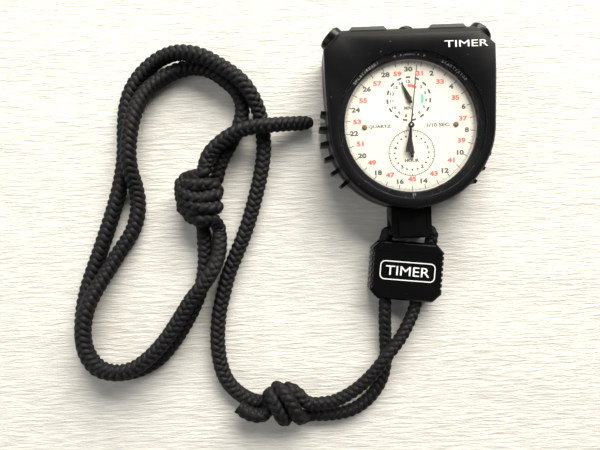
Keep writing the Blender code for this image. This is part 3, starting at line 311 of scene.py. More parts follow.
def makePlastic(name, finish):
    material, tree, shader = newMaterial(name, finish["colour"], finish["rough"][0])
    shader.inputs["Coat Weight"].default_value = finish["coat"]
    shader.inputs["Coat Roughness"].default_value = 0.08
    shader.inputs["Specular IOR Level"].default_value = plasticShine
    grain = useGroup(tree, "grain", Grain_Scale=finish["grain"])
    wear = useGroup(tree, "wear", Strength=finish["wear"])
    dust = useGroup(tree, "dust", Threshold=finish["dust"])
    worn = mixColours(tree, wear.outputs["Mask"], finish["colour"], finish["worn"])
    dusted = mixColours(tree, dust.outputs["Mask"], worn, settledDustColour)
    joinNodes(tree, (dusted, shader.inputs["Base Color"]))
    rough = rangeNode(tree, grain.outputs["Patches"], *finish["rough"], 0.3, 0.7)
    joinNodes(tree, (rough, shader.inputs["Roughness"]))
    bumpNode(tree, shader, grain.outputs["Height"], finish["depth"])
    materials[name] = material


def makeMetal(name, finish):
    material, tree, shader = newMaterial(name, finish["colour"], finish["rough"][0], Metallic=1.0)
    lines = useGroup(tree, "brushed")
    colour = mixColours(tree, lines.outputs["Shade"], finish["dull"], finish["colour"])
    joinNodes(tree, (colour, shader.inputs["Base Color"]))
    rough = rangeNode(tree, lines.outputs["Height"], *finish["rough"], 0.3, 0.7)
    joinNodes(tree, (rough, shader.inputs["Roughness"]))
    bumpNode(tree, shader, lines.outputs["Height"], 0.000006)
    materials[name] = material


def makePrintInk(name, colour):
    # screen-printed ink: a little uneven in cover
    material, tree, shader = newMaterial(name, colour, 0.5)
    grain = useGroup(tree, "grain", Grain_Scale=5200.0, Patch_Scale=900.0)
    thin = tuple(min(1.0, c * 1.25 + 0.01) for c in colour)
    joinNodes(tree, (mixColours(tree, grain.outputs["Patches"], colour, thin), shader.inputs["Base Color"]))
    bumpNode(tree, shader, grain.outputs["Height"], 0.000004)
    materials[name] = material


dialColours = {"fresh": (0.345, 0.33, 0.285), "aged": (0.325, 0.308, 0.262)}
crystalFinish = {"ior": 1.3, "clean": 0.015, "rubbed": 0.06}


def makeDialPaint():
    material, tree, shader = newMaterial("dialPaint", dialColours["fresh"], 0.5)
    grain = useGroup(tree, "grain", Grain_Scale=6000.0, Patch_Scale=140.0)
    aged = mixColours(tree, grain.outputs["Patches"], dialColours["fresh"], dialColours["aged"])
    joinNodes(tree, (aged, shader.inputs["Base Color"]))
    rough = rangeNode(tree, grain.outputs["Patches"], 0.42, 0.55, 0.3, 0.7)
    joinNodes(tree, (rough, shader.inputs["Roughness"]))
    bumpNode(tree, shader, grain.outputs["Height"], 0.000005)
    materials["dialPaint"] = material


def makeCrystalGlass():
    # clear acrylic that lets lamps through, with faint rubbed patches
    material, tree, shader = newMaterial(
        "crystalGlass", (1, 1, 1), 0.03, Transmission_Weight=1.0, IOR=crystalFinish["ior"],
    )
    grain = useGroup(tree, "grain", Grain_Scale=420.0, Patch_Scale=60.0)
    clean, rubbed = crystalFinish["clean"], crystalFinish["rubbed"]
    rough = rangeNode(tree, grain.outputs["Patches"], clean, rubbed, 0.4, 0.75)
    joinNodes(tree, (rough, shader.inputs["Roughness"]))
    clear = tree.nodes.new("ShaderNodeBsdfTransparent")
    path = tree.nodes.new("ShaderNodeLightPath")
    mix = tree.nodes.new("ShaderNodeMixShader")
    output = tree.nodes["Material Output"]
    joinNodes(
        tree, (path.outputs["Is Shadow Ray"], mix.inputs[0]), (shader.outputs[0], mix.inputs[1]),
        (clear.outputs[0], mix.inputs[2]), (mix.outputs[0], output.inputs["Surface"]),
    )
    materials["crystalGlass"] = material


# lacquer is the wire's own colour; the two other colours are painted shade between the turns and a painted
# highlight on top of them
copperColours = {"lacquer": (0.48, 0.16, 0.06), "paintedGrooveShade": (0.3, 0.08, 0.03), "crest": (0.6, 0.22, 0.09)}


def makeCopperWire():
    # turns of enamelled wire show as fine ridges round the bobbin; the colour carries painted shade between
    # the turns and a painted highlight on top of them
    material, tree, shader = newMaterial("copperWire", copperColours["lacquer"], 0.3, Metallic=0.85)
    shader.inputs["Coat Weight"].default_value = 0.5
    place = tree.nodes.new("ShaderNodeTexCoord").outputs["Object"]
    turn = tree.nodes.new("ShaderNodeMapping")
    turn.inputs["Rotation"].default_value = (0, 0, math.radians(-30))
    wave = tree.nodes.new("ShaderNodeTexWave")
    wave.inputs["Scale"].default_value = 1500.0
    wave.inputs["Distortion"].default_value = 0.4
    joinNodes(tree, (place, turn.inputs["Vector"]), (turn.outputs[0], wave.inputs["Vector"]))
    # painted shade between the turns and painted highlight on top of them, following the ridge wave
    colour = mixColours(tree, wave.outputs["Fac"], copperColours["paintedGrooveShade"], copperColours["crest"])
    joinNodes(tree, (colour, shader.inputs["Base Color"]))
    bumpNode(tree, shader, wave.outputs["Fac"], 0.00004)
    materials["copperWire"] = material


# near-black yarn; the filament colours add painted shade on sunken filaments and a painted highlight on
# raised ones, with slow random fading on top
yarnFinish = {
    "colour": (0.003, 0.003, 0.0034), "paintedFilamentShade": (0.001, 0.001, 0.0012), "bright": (0.006, 0.006, 0.0064),
    "faded": (0.006, 0.0059, 0.0057), "shine": 0.2,
    "stretch": (9.0, 0.9, 3.7), "filamentScale": 1.6, "fadeScale": 70.0, "depth": 0.00014,
}


def makeCordYarn():
    # bundled filaments that run along each plait, read from the place stored in the mesh; their colour is
    # painted darker where the filaments sink and lighter where they rise, painted shade and painted highlight
    spec = yarnFinish
    material, tree, shader = newMaterial("cordYarn", spec["colour"], 0.6)
    shader.inputs["Specular IOR Level"].default_value = spec["shine"]
    along = tree.nodes.new("ShaderNodeAttribute")
    along.attribute_name = "plaitPlace"
    stretch = tree.nodes.new("ShaderNodeVectorMath")
    stretch.operation = "MULTIPLY"
    stretch.inputs[1].default_value = spec["stretch"]
    joinNodes(tree, (along.outputs["Vector"], stretch.inputs[0]))
    filaments = noiseNode(tree, stretch.outputs[0], spec["filamentScale"], 3.0, 0.6)
    place = tree.nodes.new("ShaderNodeTexCoord").outputs["Object"]
    slow = noiseNode(tree, place, spec["fadeScale"], 3.0)
    # painted shade and painted highlight: the filament bump also darkens and lightens the colour
    shade = mixColours(tree, filaments, spec["paintedFilamentShade"], spec["bright"])
    faded = mixColours(tree, rangeNode(tree, slow, 0.0, 0.4, 0.45, 0.8), shade, spec["faded"])
    joinNodes(tree, (faded, shader.inputs["Base Color"]))
    joinNodes(tree, (rangeNode(tree, filaments, 0.42, 0.72, 0.3, 0.7), shader.inputs["Roughness"]))
    bumpNode(tree, shader, filaments, spec["depth"], 1.0)
    materials["cordYarn"] = material


# the cloth's own colour, plus a painted-shade colour for the low parts of the knit and a painted-highlight
# colour for its tops
clothFinish = {
    "colour": (0.56, 0.54, 0.49), "paintedHollowShade": (0.50, 0.485, 0.44), "crest": (0.62, 0.605, 0.56),
    "depth": 0.0006, "strength": 0.9,
    "knit": {"stretch": (0.13, 1.0, 1.0), "scale": 950.0, "share": 0.8},
    "yarn": {"stretch": (0.6, 1.0, 1.0), "scale": 1900.0, "share": 0.25},
    "rumple": {"stretch": (0.35, 1.0, 1.0), "scale": 45.0, "share": 2.2},
}


def makeFloorCloth():
    # pale cloth: rows of fine knit across, uneven in depth, over slow soft rumples; the knit rows also carry
    # painted shade low in the rows and a painted highlight on top of them
    spec = clothFinish
    material, tree, shader = newMaterial("floorCloth", spec["colour"], 0.9)
    place = tree.nodes.new("ShaderNodeTexCoord").outputs["Object"]
    layers = {}
    for layer in ("knit", "yarn", "rumple"):
        stretch = tree.nodes.new("ShaderNodeVectorMath")
        stretch.operation = "MULTIPLY"
        stretch.inputs[1].default_value = spec[layer]["stretch"]
        joinNodes(tree, (place, stretch.inputs[0]))
        layers[layer] = noiseNode(tree, stretch.outputs[0], spec[layer]["scale"], 3.0, 0.6)
    scaled = [mathNode(tree, "MULTIPLY", layers[k], spec[k]["share"]) for k in ("knit", "yarn", "rumple")]
    relief = mathNode(tree, "ADD", mathNode(tree, "ADD", scaled[0], scaled[1]), scaled[2])
    # painted shade and painted highlight: the knit relief also darkens and lightens the colour
    shade = rangeNode(tree, layers["knit"], 0.0, 1.0, 0.32, 0.66)
    joinNodes(tree, (mixColours(tree, shade, spec["paintedHollowShade"], spec["crest"]), shader.inputs["Base Color"]))
    bumpNode(tree, shader, relief, spec["depth"], spec["strength"])
    materials["floorCloth"] = material


for finishName, finish in plasticFinishes.items():
    makePlastic(finishName, finish)
for finishName, finish in metalFinishes.items():
    makeMetal(finishName, finish)
for inkName, inkColour in printColours.items():
    makePrintInk(inkName, inkColour)
makeDialPaint()
makeCrystalGlass()
makeCopperWire()
makeCordYarn()
makeFloorCloth()
print("materials ready:", len(materials))


# ---- braided cord ----

cordSpec = {"pitch": 2.5, "plaits": 4, "relief": 0.26, "ringStep": 0.3, "sides": 44, "endTaper": 5.0}
cordRoutes = {
    "cord_left": [
        (-0.2, -38.2, 6), (-4, -38.2, 6), (-7.6, -38.6, 5.8), (-8.8, -41, 4.9), (-8, -44.4, 4.4),
        (-8.4, -50, 4.5), (-9.2, -57, 4.5), (-9.8, -64, 4.4), (-10.1, -72, 4.2), (-10, -80, 2.9),
        (-10, -88, 2.5), (-12, -96, 2.5), (-17, -103, 2.5), (-24, -107.5, 2.5), (-32.5, -109, 2.5),
        (-41, -108.8, 2.5),
    ],
    "cord_right": [
        (0.2, -38.2, 6), (4, -38.2, 6), (7.6, -38.6, 5.8), (9, -41, 4.9), (8.1, -44.6, 4.4),
        (6.6, -51, 4.6), (4.6, -58, 4.6), (2.5, -65, 4.6), (0, -71.5, 4.9), (-4.8, -79, 6.7),
        (-10.5, -85.5, 8), (-16, -92.5, 7), (-22.5, -98.5, 5.9), (-30, -102.5, 5.5), (-36, -103.4, 5.6),
        (-41, -103.4, 5.8),
    ],
    "neck_outer": [
        (-60, -103, 3.2), (-63.2, -102.1, 3), (-68, -99, 3), (-71.8, -94.6, 3), (-74, -89, 3),
        (-75, -82.5, 3), (-75, -75.5, 3), (-74, -67.5, 3), (-72.2, -60.4, 3), (-70, -53, 3),
        (-67, -46, 3), (-64, -39.3, 3), (-61.2, -32, 3), (-59, -25, 3), (-57, -18, 3),
        (-55.4, -11, 3), (-54.6, -4, 3), (-54.9, 3, 3.2), (-56, 9.5, 4.6), (-58.2, 15, 6.8),
        (-61.4, 19.8, 8), (-65.4, 23.4, 8.2), (-70.2, 26.7, 8.2), (-75.4, 29.7, 8.2), (-80.4, 31.4, 8),
        (-86, 32.2, 6.8), (-91.4, 31.6, 5), (-96.4, 29.4, 3.7), (-101.2, 25.4, 3.1), (-105, 20, 3),
        (-107.4, 13, 3), (-108.3, 5, 3), (-108.6, -3, 3), (-109.4, -10, 3), (-111, -17.5, 3),
        (-113.4, -25.5, 3), (-116.2, -33.5, 3), (-119.4, -42, 3), (-122.3, -49.5, 3), (-125, -57.2, 3),
        (-126.8, -65.2, 3), (-127.5, -74, 3), (-126.4, -81.8, 3), (-122.6, -87.6, 3), (-117, -89.8, 3),
        (-111, -89.9, 3), (-104.5, -88.3, 3), (-98, -84.7, 3), (-92.8, -79.2, 3), (-88.5, -73.2, 3),
        (-85, -67.3, 3), (-82, -61, 3), (-79.8, -54, 3), (-78.9, -47, 3), (-78.9, -41, 3), (-79, -36.3, 3.2),
    ],
    "neck_inner": [
        (-71.9, -11.3, 4), (-70.6, -7.8, 3.5), (-66.8, -1.2, 3.1), (-63.9, 4.4, 3), (-62.4, 11.4, 3),
        (-64.4, 17.8, 3), (-68.9, 22.4, 3), (-74.3, 26.2, 3), (-80.2, 27.8, 3), (-86.4, 26.9, 3),
        (-92, 24.4, 3.1), (-96.8, 21, 3.9), (-100.2, 16.6, 5.4), (-102.3, 11.4, 7.2), (-103.8, 5.4, 8.4),
        (-104.8, -1, 8.8), (-105.3, -7.2, 8.5), (-105.2, -12.6, 6.8), (-104.6, -17.6, 4.4),
        (-104.2, -23, 3.1),
        (-104.7, -29, 3), (-107, -35.6, 3), (-111.4, -42.2, 3.3), (-115.4, -48.8, 4.6), (-119.8, -56.6, 7),
        (-123, -64.2, 8.8), (-124.4, -73, 9.2), (-123, -80.4, 9.2), (-118.8, -85.8, 9.2),
        (-112.6, -87.8, 9.2),
        (-106, -86.6, 9.2), (-99.6, -82.4, 9.1), (-93.6, -76.2, 9), (-88.3, -68.8, 9), (-83.4, -61.6, 9.2),
        (-78.4, -55.8, 9.6), (-74.6, -50, 9), (-72.8, -43.8, 6.2), (-72.7, -37.3, 4.2),
    ],
    "free_end": [
        (-76.3, -11.5, 8.7), (-75.9, -9.4, 8.9), (-74.2, -6.4, 9.1), (-71, -3.4, 9.3), (-67.2, -0.8, 9.4),
        (-62.6, 1.4, 9.5), (-57.4, 2.5, 9.4), (-52.4, 3, 8.8), (-46, 3.9, 5.9), (-40, 4.5, 3.6),
        (-35.1, 4.8, 3.1),
    ],
}
cordFacts = {
    "cord_left": {"farEnd": "knot", "piece": "cordLeft", "radius": 2.5},
    "cord_right": {"farEnd": "knot", "piece": "cordRight", "radius": 2.5},
    "neck_outer": {"farEnd": "knot", "piece": "neckLoopOuter", "radius": 3.05},
    "neck_inner": {"farEnd": "knot", "piece": "neckLoopInner", "radius": 3.05},
    "free_end": {"farEnd": "bare", "piece": "cordFreeEnd", "radius": 3.0},
}


def smoothRoute(points, fine=12):
    route = [Vector(p) * mm for p in points]
    route = [2 * route[0] - route[1]] + route + [2 * route[-1] - route[-2]]
    out = []
    for a, b, c, d in zip(route, route[1:], route[2:], route[3:]):
        for i in range(fine):
            t = i / fine
            bend = (2 * a - 5 * b + 4 * c - d) * t**2 + (3 * b - a - 3 * c + d) * t**3
            out.append(0.5 * (2 * b + (c - a) * t + bend))
    return out + [route[-2]]


def evenPoints(points, step):
    line = np.array([tuple(p) for p in points])
    run = np.concatenate([[0], np.cumsum(np.linalg.norm(np.diff(line, axis=0), axis=1))])
    places = np.linspace(0, run[-1], max(8, int(run[-1] / step)) + 1)
    return np.column_stack([np.interp(places, run, line[:, k]) for k in range(3)]), places


def carriedFrames(line):
    # two directions across the cord, carried along it without twisting
    ahead = np.gradient(line, axis=0)
    ahead /= np.linalg.norm(ahead, axis=1)[:, None]
    side = np.cross(ahead[0], (0, 0, 1.0))
    if np.linalg.norm(side) < 0.1:
        side = np.cross(ahead[0], (0, 1.0, 0))
    sides = np.empty_like(line)
    for i, along in enumerate(ahead):
        side = side - along * (side @ along)
        side = side / np.linalg.norm(side)
        sides[i] = side
    return sides, np.cross(ahead, sides)


def plaitPattern(angle, along, pitch, plaits):
    # a chevron plait: each bundle floats over two others, then dives under two
    u = plaits * angle / math.tau + along / pitch
    v = plaits * angle / math.tau - along / pitch
    i, j = np.floor(u), np.floor(v)
    turn = np.mod(i + j, 4)
    first = turn < 2
    across = np.where(first, u - i, v - j)
    place = np.where(first, (v - j + turn) / 2, (u - i + turn - 2) / 2)
    crown = np.sqrt(np.clip(1 - (2 * across - 1) ** 2, 0, 1))
    ends = np.sqrt(np.clip(1 - np.abs(2 * place - 1) ** 3, 0, 1))
    bundle = np.where(first, i * 1.7, j * 2.3 + 31)
    return crown * ends, np.stack([across, place, bundle], axis=-1)


def braidedTube(name, points, radius, endTaper=0.0):
    relief = cordSpec["relief"] * radius
    line, places = evenPoints(smoothRoute(points), cordSpec["ringStep"] * mm)
    sides, ups = carriedFrames(line)
    angles = np.arange(cordSpec["sides"]) / cordSpec["sides"] * math.tau
    angle, along = np.meshgrid(angles, places / mm)
    raised, stored = plaitPattern(angle, along, cordSpec["pitch"], cordSpec["plaits"])
    wide = (radius - relief + relief * raised) * mm
    if endTaper:
        left = np.clip((places[-1] - places) / (endTaper * mm), 0, 1)
        wide *= (0.3 + 0.7 * np.sqrt(1 - (1 - left) ** 2))[:, None]
    spots = line[:, None] + wide[..., None] * (
        np.cos(angle)[..., None] * sides[:, None] + np.sin(angle)[..., None] * ups[:, None]
    )
    rings, count = angle.shape
    grid = np.arange(rings * count).reshape(rings, count)
    after = np.roll(grid, -1, axis=1)
    quads = np.stack([grid[:-1], after[:-1], after[1:], grid[1:]], axis=-1).reshape(-1, 4)
    mesh = bpy.data.meshes.new(name)
    verts = np.concatenate([spots.reshape(-1, 3), line[[0, -1]]])
    caps = [(rings * count, int(b), int(a)) for a, b in zip(grid[0], after[0])]
    caps += [(rings * count + 1, int(a), int(b)) for a, b in zip(grid[-1], after[-1])]
    mesh.from_pydata(verts.tolist(), [], quads[:, ::-1].tolist() + [c[::-1] for c in caps])
    stored = np.concatenate([stored.reshape(-1, 3), np.zeros((2, 3))])
    placed = mesh.attributes.new("plaitPlace", "FLOAT_VECTOR", "POINT")
    placed.data.foreach_set("vector", stored.astype(np.float32).ravel())
    mesh.polygons.foreach_set("use_smooth", [True] * len(mesh.polygons))
    mesh.materials.append(materials["cordYarn"])
    piece = addObject(name, mesh)
    return piece, line, float(places[-1])


# Each knot is plaited cord wound along these routes, round a short stuffed core.
knotSpec = {
    "knot_upper": {
        "piece": "knotUpper", "radius": 2.85,
        "strands": [
            [(-79, -37.6, 3.2), (-79.2, -34, 3.8), (-78.4, -31.4, 7.2), (-80.8, -28.6, 10),
             (-84.6, -27.4, 8.4), (-86, -25.4, 5), (-82.6, -22.6, 3.2), (-77, -21.4, 3.2),
             (-73.4, -21.6, 5.6), (-74, -22.6, 9),
             (-78.4, -23.8, 10.6), (-83.2, -22.4, 10.2), (-86.2, -19, 7.6), (-84.2, -15.8, 6.4),
             (-80.4, -15.2, 8.2), (-77.4, -14.2, 9.2), (-76.2, -10.6, 8.8)],
            [(-72.7, -38.6, 4.3), (-73, -34.8, 4.6), (-74.6, -31.8, 7.6), (-78.4, -31.6, 9.4),
             (-82.4, -30.4, 7.4), (-84.2, -28.4, 4), (-80, -26, 3.1), (-74.8, -26.4, 4.2), (-73, -27, 7.4),
             (-75.8, -27.4, 10.2), (-80.4, -26.6, 10.7), (-84.8, -24.4, 9), (-86.4, -21.4, 5.6),
             (-84, -18.2, 3.4), (-78.4, -17.6, 3.2), (-73.8, -16.6, 3.5), (-71.9, -10.8, 4)],
            [(-84.4, -18.4, 8.6), (-80.4, -18.8, 10.6), (-75.6, -18.6, 9.4), (-73, -20, 6.4),
             (-74.4, -23.8, 4.4)],
        ],
        "core": {"from": (-79.4, -30, 6.4), "to": (-79.6, -17.6, 6.4), "radius": 4.6},
    },
    "knot_lower": {  # its first strand leaves to the left as the short tail
        "piece": "knotLower", "radius": 2.75,
        "strands": [
            [(-39.8, -108.8, 2.6), (-42.4, -109, 3.2), (-44.2, -108.4, 6.4), (-45.6, -104.8, 9.2),
             (-48.2, -99.8, 9.7), (-50.8, -97.2, 8.2), (-52.6, -97.4, 4.6), (-50.2, -101.4, 3),
             (-48.8, -106, 3.1), (-49.6, -108.9, 5.8), (-51.2, -106.2, 9), (-53.4, -101.2, 9.6),
             (-55.2, -98.4, 7.6), (-55.6, -101.4, 5), (-56.2, -104.9, 5.8), (-58.4, -106.5, 7),
             (-61.4, -106.3, 7.4), (-64.6, -104.9, 7.4), (-67.3, -102.8, 7)],
            [(-39.8, -103.4, 5.7), (-42.4, -102, 6.2), (-44.6, -99.4, 6.4), (-47.8, -97.6, 5.4),
             (-50.8, -99.2, 3.4), (-53.4, -101.8, 3.1), (-57, -103, 3.1), (-61.2, -103, 3.2)],
        ],
        "core": {"from": (-53, -102.6, 6), "to": (-47, -104, 6), "radius": 4.2},
    },
}


def joinPieces(name, pieces):
    mesh = bpy.data.meshes.new(name)
    box = bmesh.new()
    for piece in pieces:
        box.from_mesh(piece.data)
    box.to_mesh(mesh)
    box.free()
    for material in pieces[0].data.materials:
        mesh.materials.append(material)
    for piece in pieces:
        bpy.data.objects.remove(piece)
    return addObject(name, mesh)


def makeKnots():
    made = {}
    for node, spec in knotSpec.items():
        core = spec["core"]
        middle = tuple((a + b) / 2 for a, b in zip(core["from"], core["to"]))
        route = [core["from"], middle, core["to"]]
        strands = [braidedTube(spec["piece"] + "Core", route, core["radius"])[0]]
        for i, points in enumerate(spec["strands"]):
            strands.append(braidedTube(f"{spec['piece']}{i}", points, spec["radius"])[0])
        knot = joinPieces(spec["piece"], strands)
        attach(knot, "case")
        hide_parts(node)
        made[node] = knot
    return made


def makeCords():
    for node, points in cordRoutes.items():
        facts = cordFacts[node]
        taper = cordSpec["endTaper"] if facts["farEnd"] == "bare" else 0.0
        piece, line, length = braidedTube(facts["piece"], points, facts["radius"], taper)
        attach(piece, "case")
        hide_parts(node)
        print(f"{facts['piece']}: {length:.3f} m")


cordKnots = makeKnots()
makeCords()
print("cords and knots made")


# ---- refined CAD pieces ----

nodeFinishes = {
    "rear_case": "casePlastic", "front_case": "casePlastic", "lanyard_lug": "casePlastic",
    "battery_cover": "casePlastic", "legend_ring": "ringPlastic", "start_stop_pusher": "pusherPlastic",
    "split_reset_pusher": "pusherPlastic", "mode_button": "pusherPlastic", "slider_front": "sliderPlastic",
    "slider_back": "sliderPlastic", "crystal": "crystalGlass", "dial": "dialPaint",
    "sweep_hand": "handPaint", "minute_hand": "handPaint", "hour_hand": "handPaint",
    "dial_screw_left": "bronzeRivet", "dial_screw_right": "bronzeRivet", "main_plate": "movementResin",
    "case_gasket": "sealRubber", "battery_cover_seal": "sealRubber", "circuit_board": "boardMask",
    "timing_chip": "chipResin", "quartz_can": "batteryCase", "battery_cell": "batteryCase",
    "coil_winding": "copperWire", "coil_core": "laminatedIron", "stator": "laminatedIron",
    "rotor": "magnetSteel", "sweep_arbor": "pivotSteel", "minute_arbor": "pivotSteel",
    "hour_arbor": "pivotSteel",
    "third_wheel": "wheelBrass", "step_wheel": "wheelBrass", "minute_idler": "wheelBrass",
    "hour_idler": "wheelBrass", "transfer_wheel": "wheelBrass", "train_bridge": "wheelBrass",
    "battery_contact_plus": "wheelBrass", "battery_contact_minus": "wheelBrass",
    "start_stop_blade": "wheelBrass", "split_reset_blade": "wheelBrass",
}
refinedNodes = {  # rounding of the sharp edges, in millimetres
    "front_case": {"round": 0.28, "piece": "caseFront"},
    "rear_case": {"round": 0.25, "piece": "caseBack"},
    "lanyard_lug": {"round": 0.3, "piece": "cordLug"},
    "slider_front": {"round": 0.45, "piece": "sliderFace"},
    "slider_back": {"round": 0.25, "piece": "sliderBack"},
    "start_stop_pusher": {"round": 0.3, "piece": "startStopPusher"},
    "split_reset_pusher": {"round": 0.3, "piece": "splitResetPusher"},
    "mode_button": {"round": 0.2, "piece": "modeButton"},
    "legend_ring": {"round": 0.12, "piece": "legendRing"},
    "sweep_hand": {"round": 0.0, "piece": "sweepHand"},
    "minute_hand": {"round": 0.0, "piece": "minuteHand"},
    "hour_hand": {"round": 0.0, "piece": "hourHand"},
    "crystal": {"round": 0.0, "piece": "frontCrystal"},
}


def bodyOf(node):
    bodies = frame["record"]["behaviour"]["bodies"]
    return next(body for body, members in bodies.items() if node in members)


def refineNode(node, spec):
    # the CAD solid again, with clean faces, rounded edges and smooth curves
    mesh = bpy.data.meshes.new(spec["piece"])
    shape = bmesh.new()
    shape.from_mesh(frame["nodes"][node].data)
    bmesh.ops.remove_doubles(shape, verts=shape.verts, dist=0.002 * mm)
    bmesh.ops.dissolve_limit(shape, angle_limit=math.radians(0.4), verts=shape.verts, edges=shape.edges)
    if spec["round"]:
        sharp = [e for e in shape.edges if len(e.link_faces) == 2 and e.calc_face_angle(0) > math.radians(24)]
        bmesh.ops.bevel(
            shape, geom=sharp, offset=spec["round"] * mm, offset_type="OFFSET", segments=2, profile=0.5,
            affect="EDGES", clamp_overlap=True,
        )
    bmesh.ops.triangulate(shape, faces=[f for f in shape.faces if len(f.verts) > 4])
    for face in shape.faces:
        face.smooth = True
    for edge in shape.edges:
        edge.smooth = len(edge.link_faces) == 2 and edge.calc_face_angle(0) < math.radians(32)
    shape.to_mesh(mesh)
    shape.free()
    mesh.materials.append(materials[nodeFinishes[node]])
    piece = addObject(spec["piece"], mesh)
    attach(piece, bodyOf(node))
    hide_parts(node)
    return piece


for nodeName, piece in frame["nodes"].items():
    chosen = materials[nodeFinishes.get(nodeName, "springSteel")]
    if not piece.material_slots:
        piece.data.materials.append(chosen)
    for materialSlot in piece.material_slots:
        materialSlot.material = chosen
refinedPieces = {node: refineNode(node, spec) for node, spec in refinedNodes.items()}
print("case pieces refined:", len(refinedPieces))


# ---- printing ----

printThickness = 0.012
dialSpec = {
    "level": 13.2, "blackRadius": 20.75, "redRadius": 19.5, "numeralCap": 1.85, "numeralWide": 1.3,
    "numeralBold": 0.045, "wordBold": 0.04, "trackOuter": 23.9, "line": 0.17, "secondLine": 1.9,
    "tickDepths": {"tenth": 0.8, "half": 1.2, "second": 1.9},
    "redTick": {"inner": -0.1, "outer": 0.3, "width": 0.45},
    "words": (("QUARTZ", -11.2, 8.3), ("1/10 SEC.", 10.4, 8.7)), "wordCap": 1.35,
}
minuteDial = {
    "x": -0.2, "y": 9.9, "dashes": 7.9, "dashWidth": 0.68, "dashHalfAngle": 6, "numerals": 6.3, "cap": 1.15,
    "red": {"radius": 4.85, "width": 1.05, "first": -4, "last": 36},
    "green": {"radius": 5.0, "width": 0.95, "first": 73, "last": 111},
    "word": {"words": "MIN.", "x": -0.2, "y": -3.4, "cap": 1.25, "width": 3.2},
}
hourDial = {
    "x": 0.2, "y": -9.9, "circle": 8.35, "line": 0.26, "dots": 6.25, "dotRadius": 0.36, "cap": 1.3,
    "long": {"depth": 0.75, "width": 0.24}, "short": {"depth": 0.5, "width": 0.16},
    "word": {"words": "HOUR", "x": 0.0, "y": -2.8, "cap": 1.3, "width": 5.3},
}
smallNumeralWide = 1.25


def startPrint():
    return {"verts": [], "faces": []}


def addSlab(ink, outline, low):
    # a closed plate of ink over a convex outline
    start, count = len(ink["verts"]), len(outline)
    for z in (low, low + printThickness):
        ink["verts"] += [(x * mm, y * mm, z * mm) for x, y in outline]
    lower = list(range(start, start + count))
    upper = [i + count for i in lower]
    ink["faces"] += [lower[::-1], upper]
    for a, b, c, d in zip(lower, lower[1:] + lower[:1], upper[1:] + upper[:1], upper):
        ink["faces"].append([a, b, c, d])


def polar(radius, bearing, x=0.0, y=0.0):
    # a bearing is read clockwise from 12 o'clock
    turn = math.radians(bearing)
    return x + radius * math.sin(turn), y + radius * math.cos(turn)


def addArc(ink, radius, width, first, last, low, x=0.0, y=0.0, steps=4):
    for i in range(steps):
        a = first + (last - first) * i / steps
        b = first + (last - first) * (i + 1) / steps
        inner, outer = radius - width / 2, radius + width / 2
        corners = ((inner, a), (inner, b), (outer, b), (outer, a))
        addSlab(ink, [polar(distance, bearing, x, y) for distance, bearing in corners], low)


def addTick(ink, bearing, inner, outer, width, low, x=0.0, y=0.0):
    near, far = polar(inner, bearing, x, y), polar(outer, bearing, x, y)
    side = polar(width / 2, bearing + 90)
    addSlab(ink, [
        (near[0] + side[0], near[1] + side[1]), (near[0] - side[0], near[1] - side[1]),
        (far[0] - side[0], far[1] - side[1]), (far[0] + side[0], far[1] + side[1]),
    ], low)


def addDot(ink, x, y, radius, low, steps=10):
    turns = [i * math.tau / steps for i in range(steps)]
    addSlab(ink, [(x + radius * math.cos(turn), y + radius * math.sin(turn)) for turn in turns], low)


glyphStore = {}


def glyphMesh(words, bold):
    # built-in letters as a flat mesh with its box at the origin, one unit of cap height
    key = (words, bold)
    if key not in glyphStore:
        curve = bpy.data.curves.new("lettering", "FONT")
        curve.body = words
        curve.offset = bold
        curve.extrude = 0.5
        curve.resolution_u = 3
        carrier = addObject("lettering", curve)
        bpy.context.view_layer.update()
        mesh = bpy.data.meshes.new_from_object(carrier.evaluated_get(bpy.context.evaluated_depsgraph_get()))
        spots = np.array([v.co for v in mesh.vertices])
        faces = [list(p.vertices) for p in mesh.polygons]
        bpy.data.objects.remove(carrier)
        bpy.data.curves.remove(curve)
        bpy.data.meshes.remove(mesh)
        low, high = spots.min(0), spots.max(0)
        spots[:, :2] = (spots[:, :2] - (low[:2] + high[:2]) / 2) / (high[1] - low[1])
        spots[:, 2] = (spots[:, 2] - low[2]) / (high[2] - low[2])
        glyphStore[key] = (spots, faces)
    return glyphStore[key]


def addWords(ink, words, x, y, cap, low, wide=1.0, bearing=0.0, bold=0.0, width=None):
    spots, faces = glyphMesh(words, bold)
    spots = spots.copy()
    if width:
        wide = width / (spots[:, 0].max() - spots[:, 0].min()) / cap
    turn = -math.radians(bearing)
    across, up = spots[:, 0] * cap * wide, spots[:, 1] * cap
    start = len(ink["verts"])
    px = x + across * math.cos(turn) - up * math.sin(turn)
    py = y + across * math.sin(turn) + up * math.cos(turn)
    pz = low + spots[:, 2] * printThickness
    ink["verts"] += [(a * mm, b * mm, c * mm) for a, b, c in zip(px, py, pz)]
    ink["faces"] += [[start + i for i in face] for face in faces]


def addArchedWords(ink, words, radius, middle, span, cap, low, bold=0.0):
    # letters set one by one round the ring, their tops outwards
    step = span / (len(words) - 1)
    for i, letter in enumerate(words):
        if letter == " ":
            continue
        bearing = middle - span / 2 + i * step
        narrow = 0.45 if letter in "I/" else 0.85
        spot = polar(radius, bearing)
        addWords(ink, letter, *spot, cap, low, bearing=bearing, bold=bold, width=cap * narrow)


def finishPrint(name, ink, inkName, body):
    mesh = bpy.data.meshes.new(name)
    mesh.from_pydata(ink["verts"], [], ink["faces"])
    mesh.materials.append(materials[inkName])
    piece = addObject(name, mesh)
    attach(piece, body)
    return piece


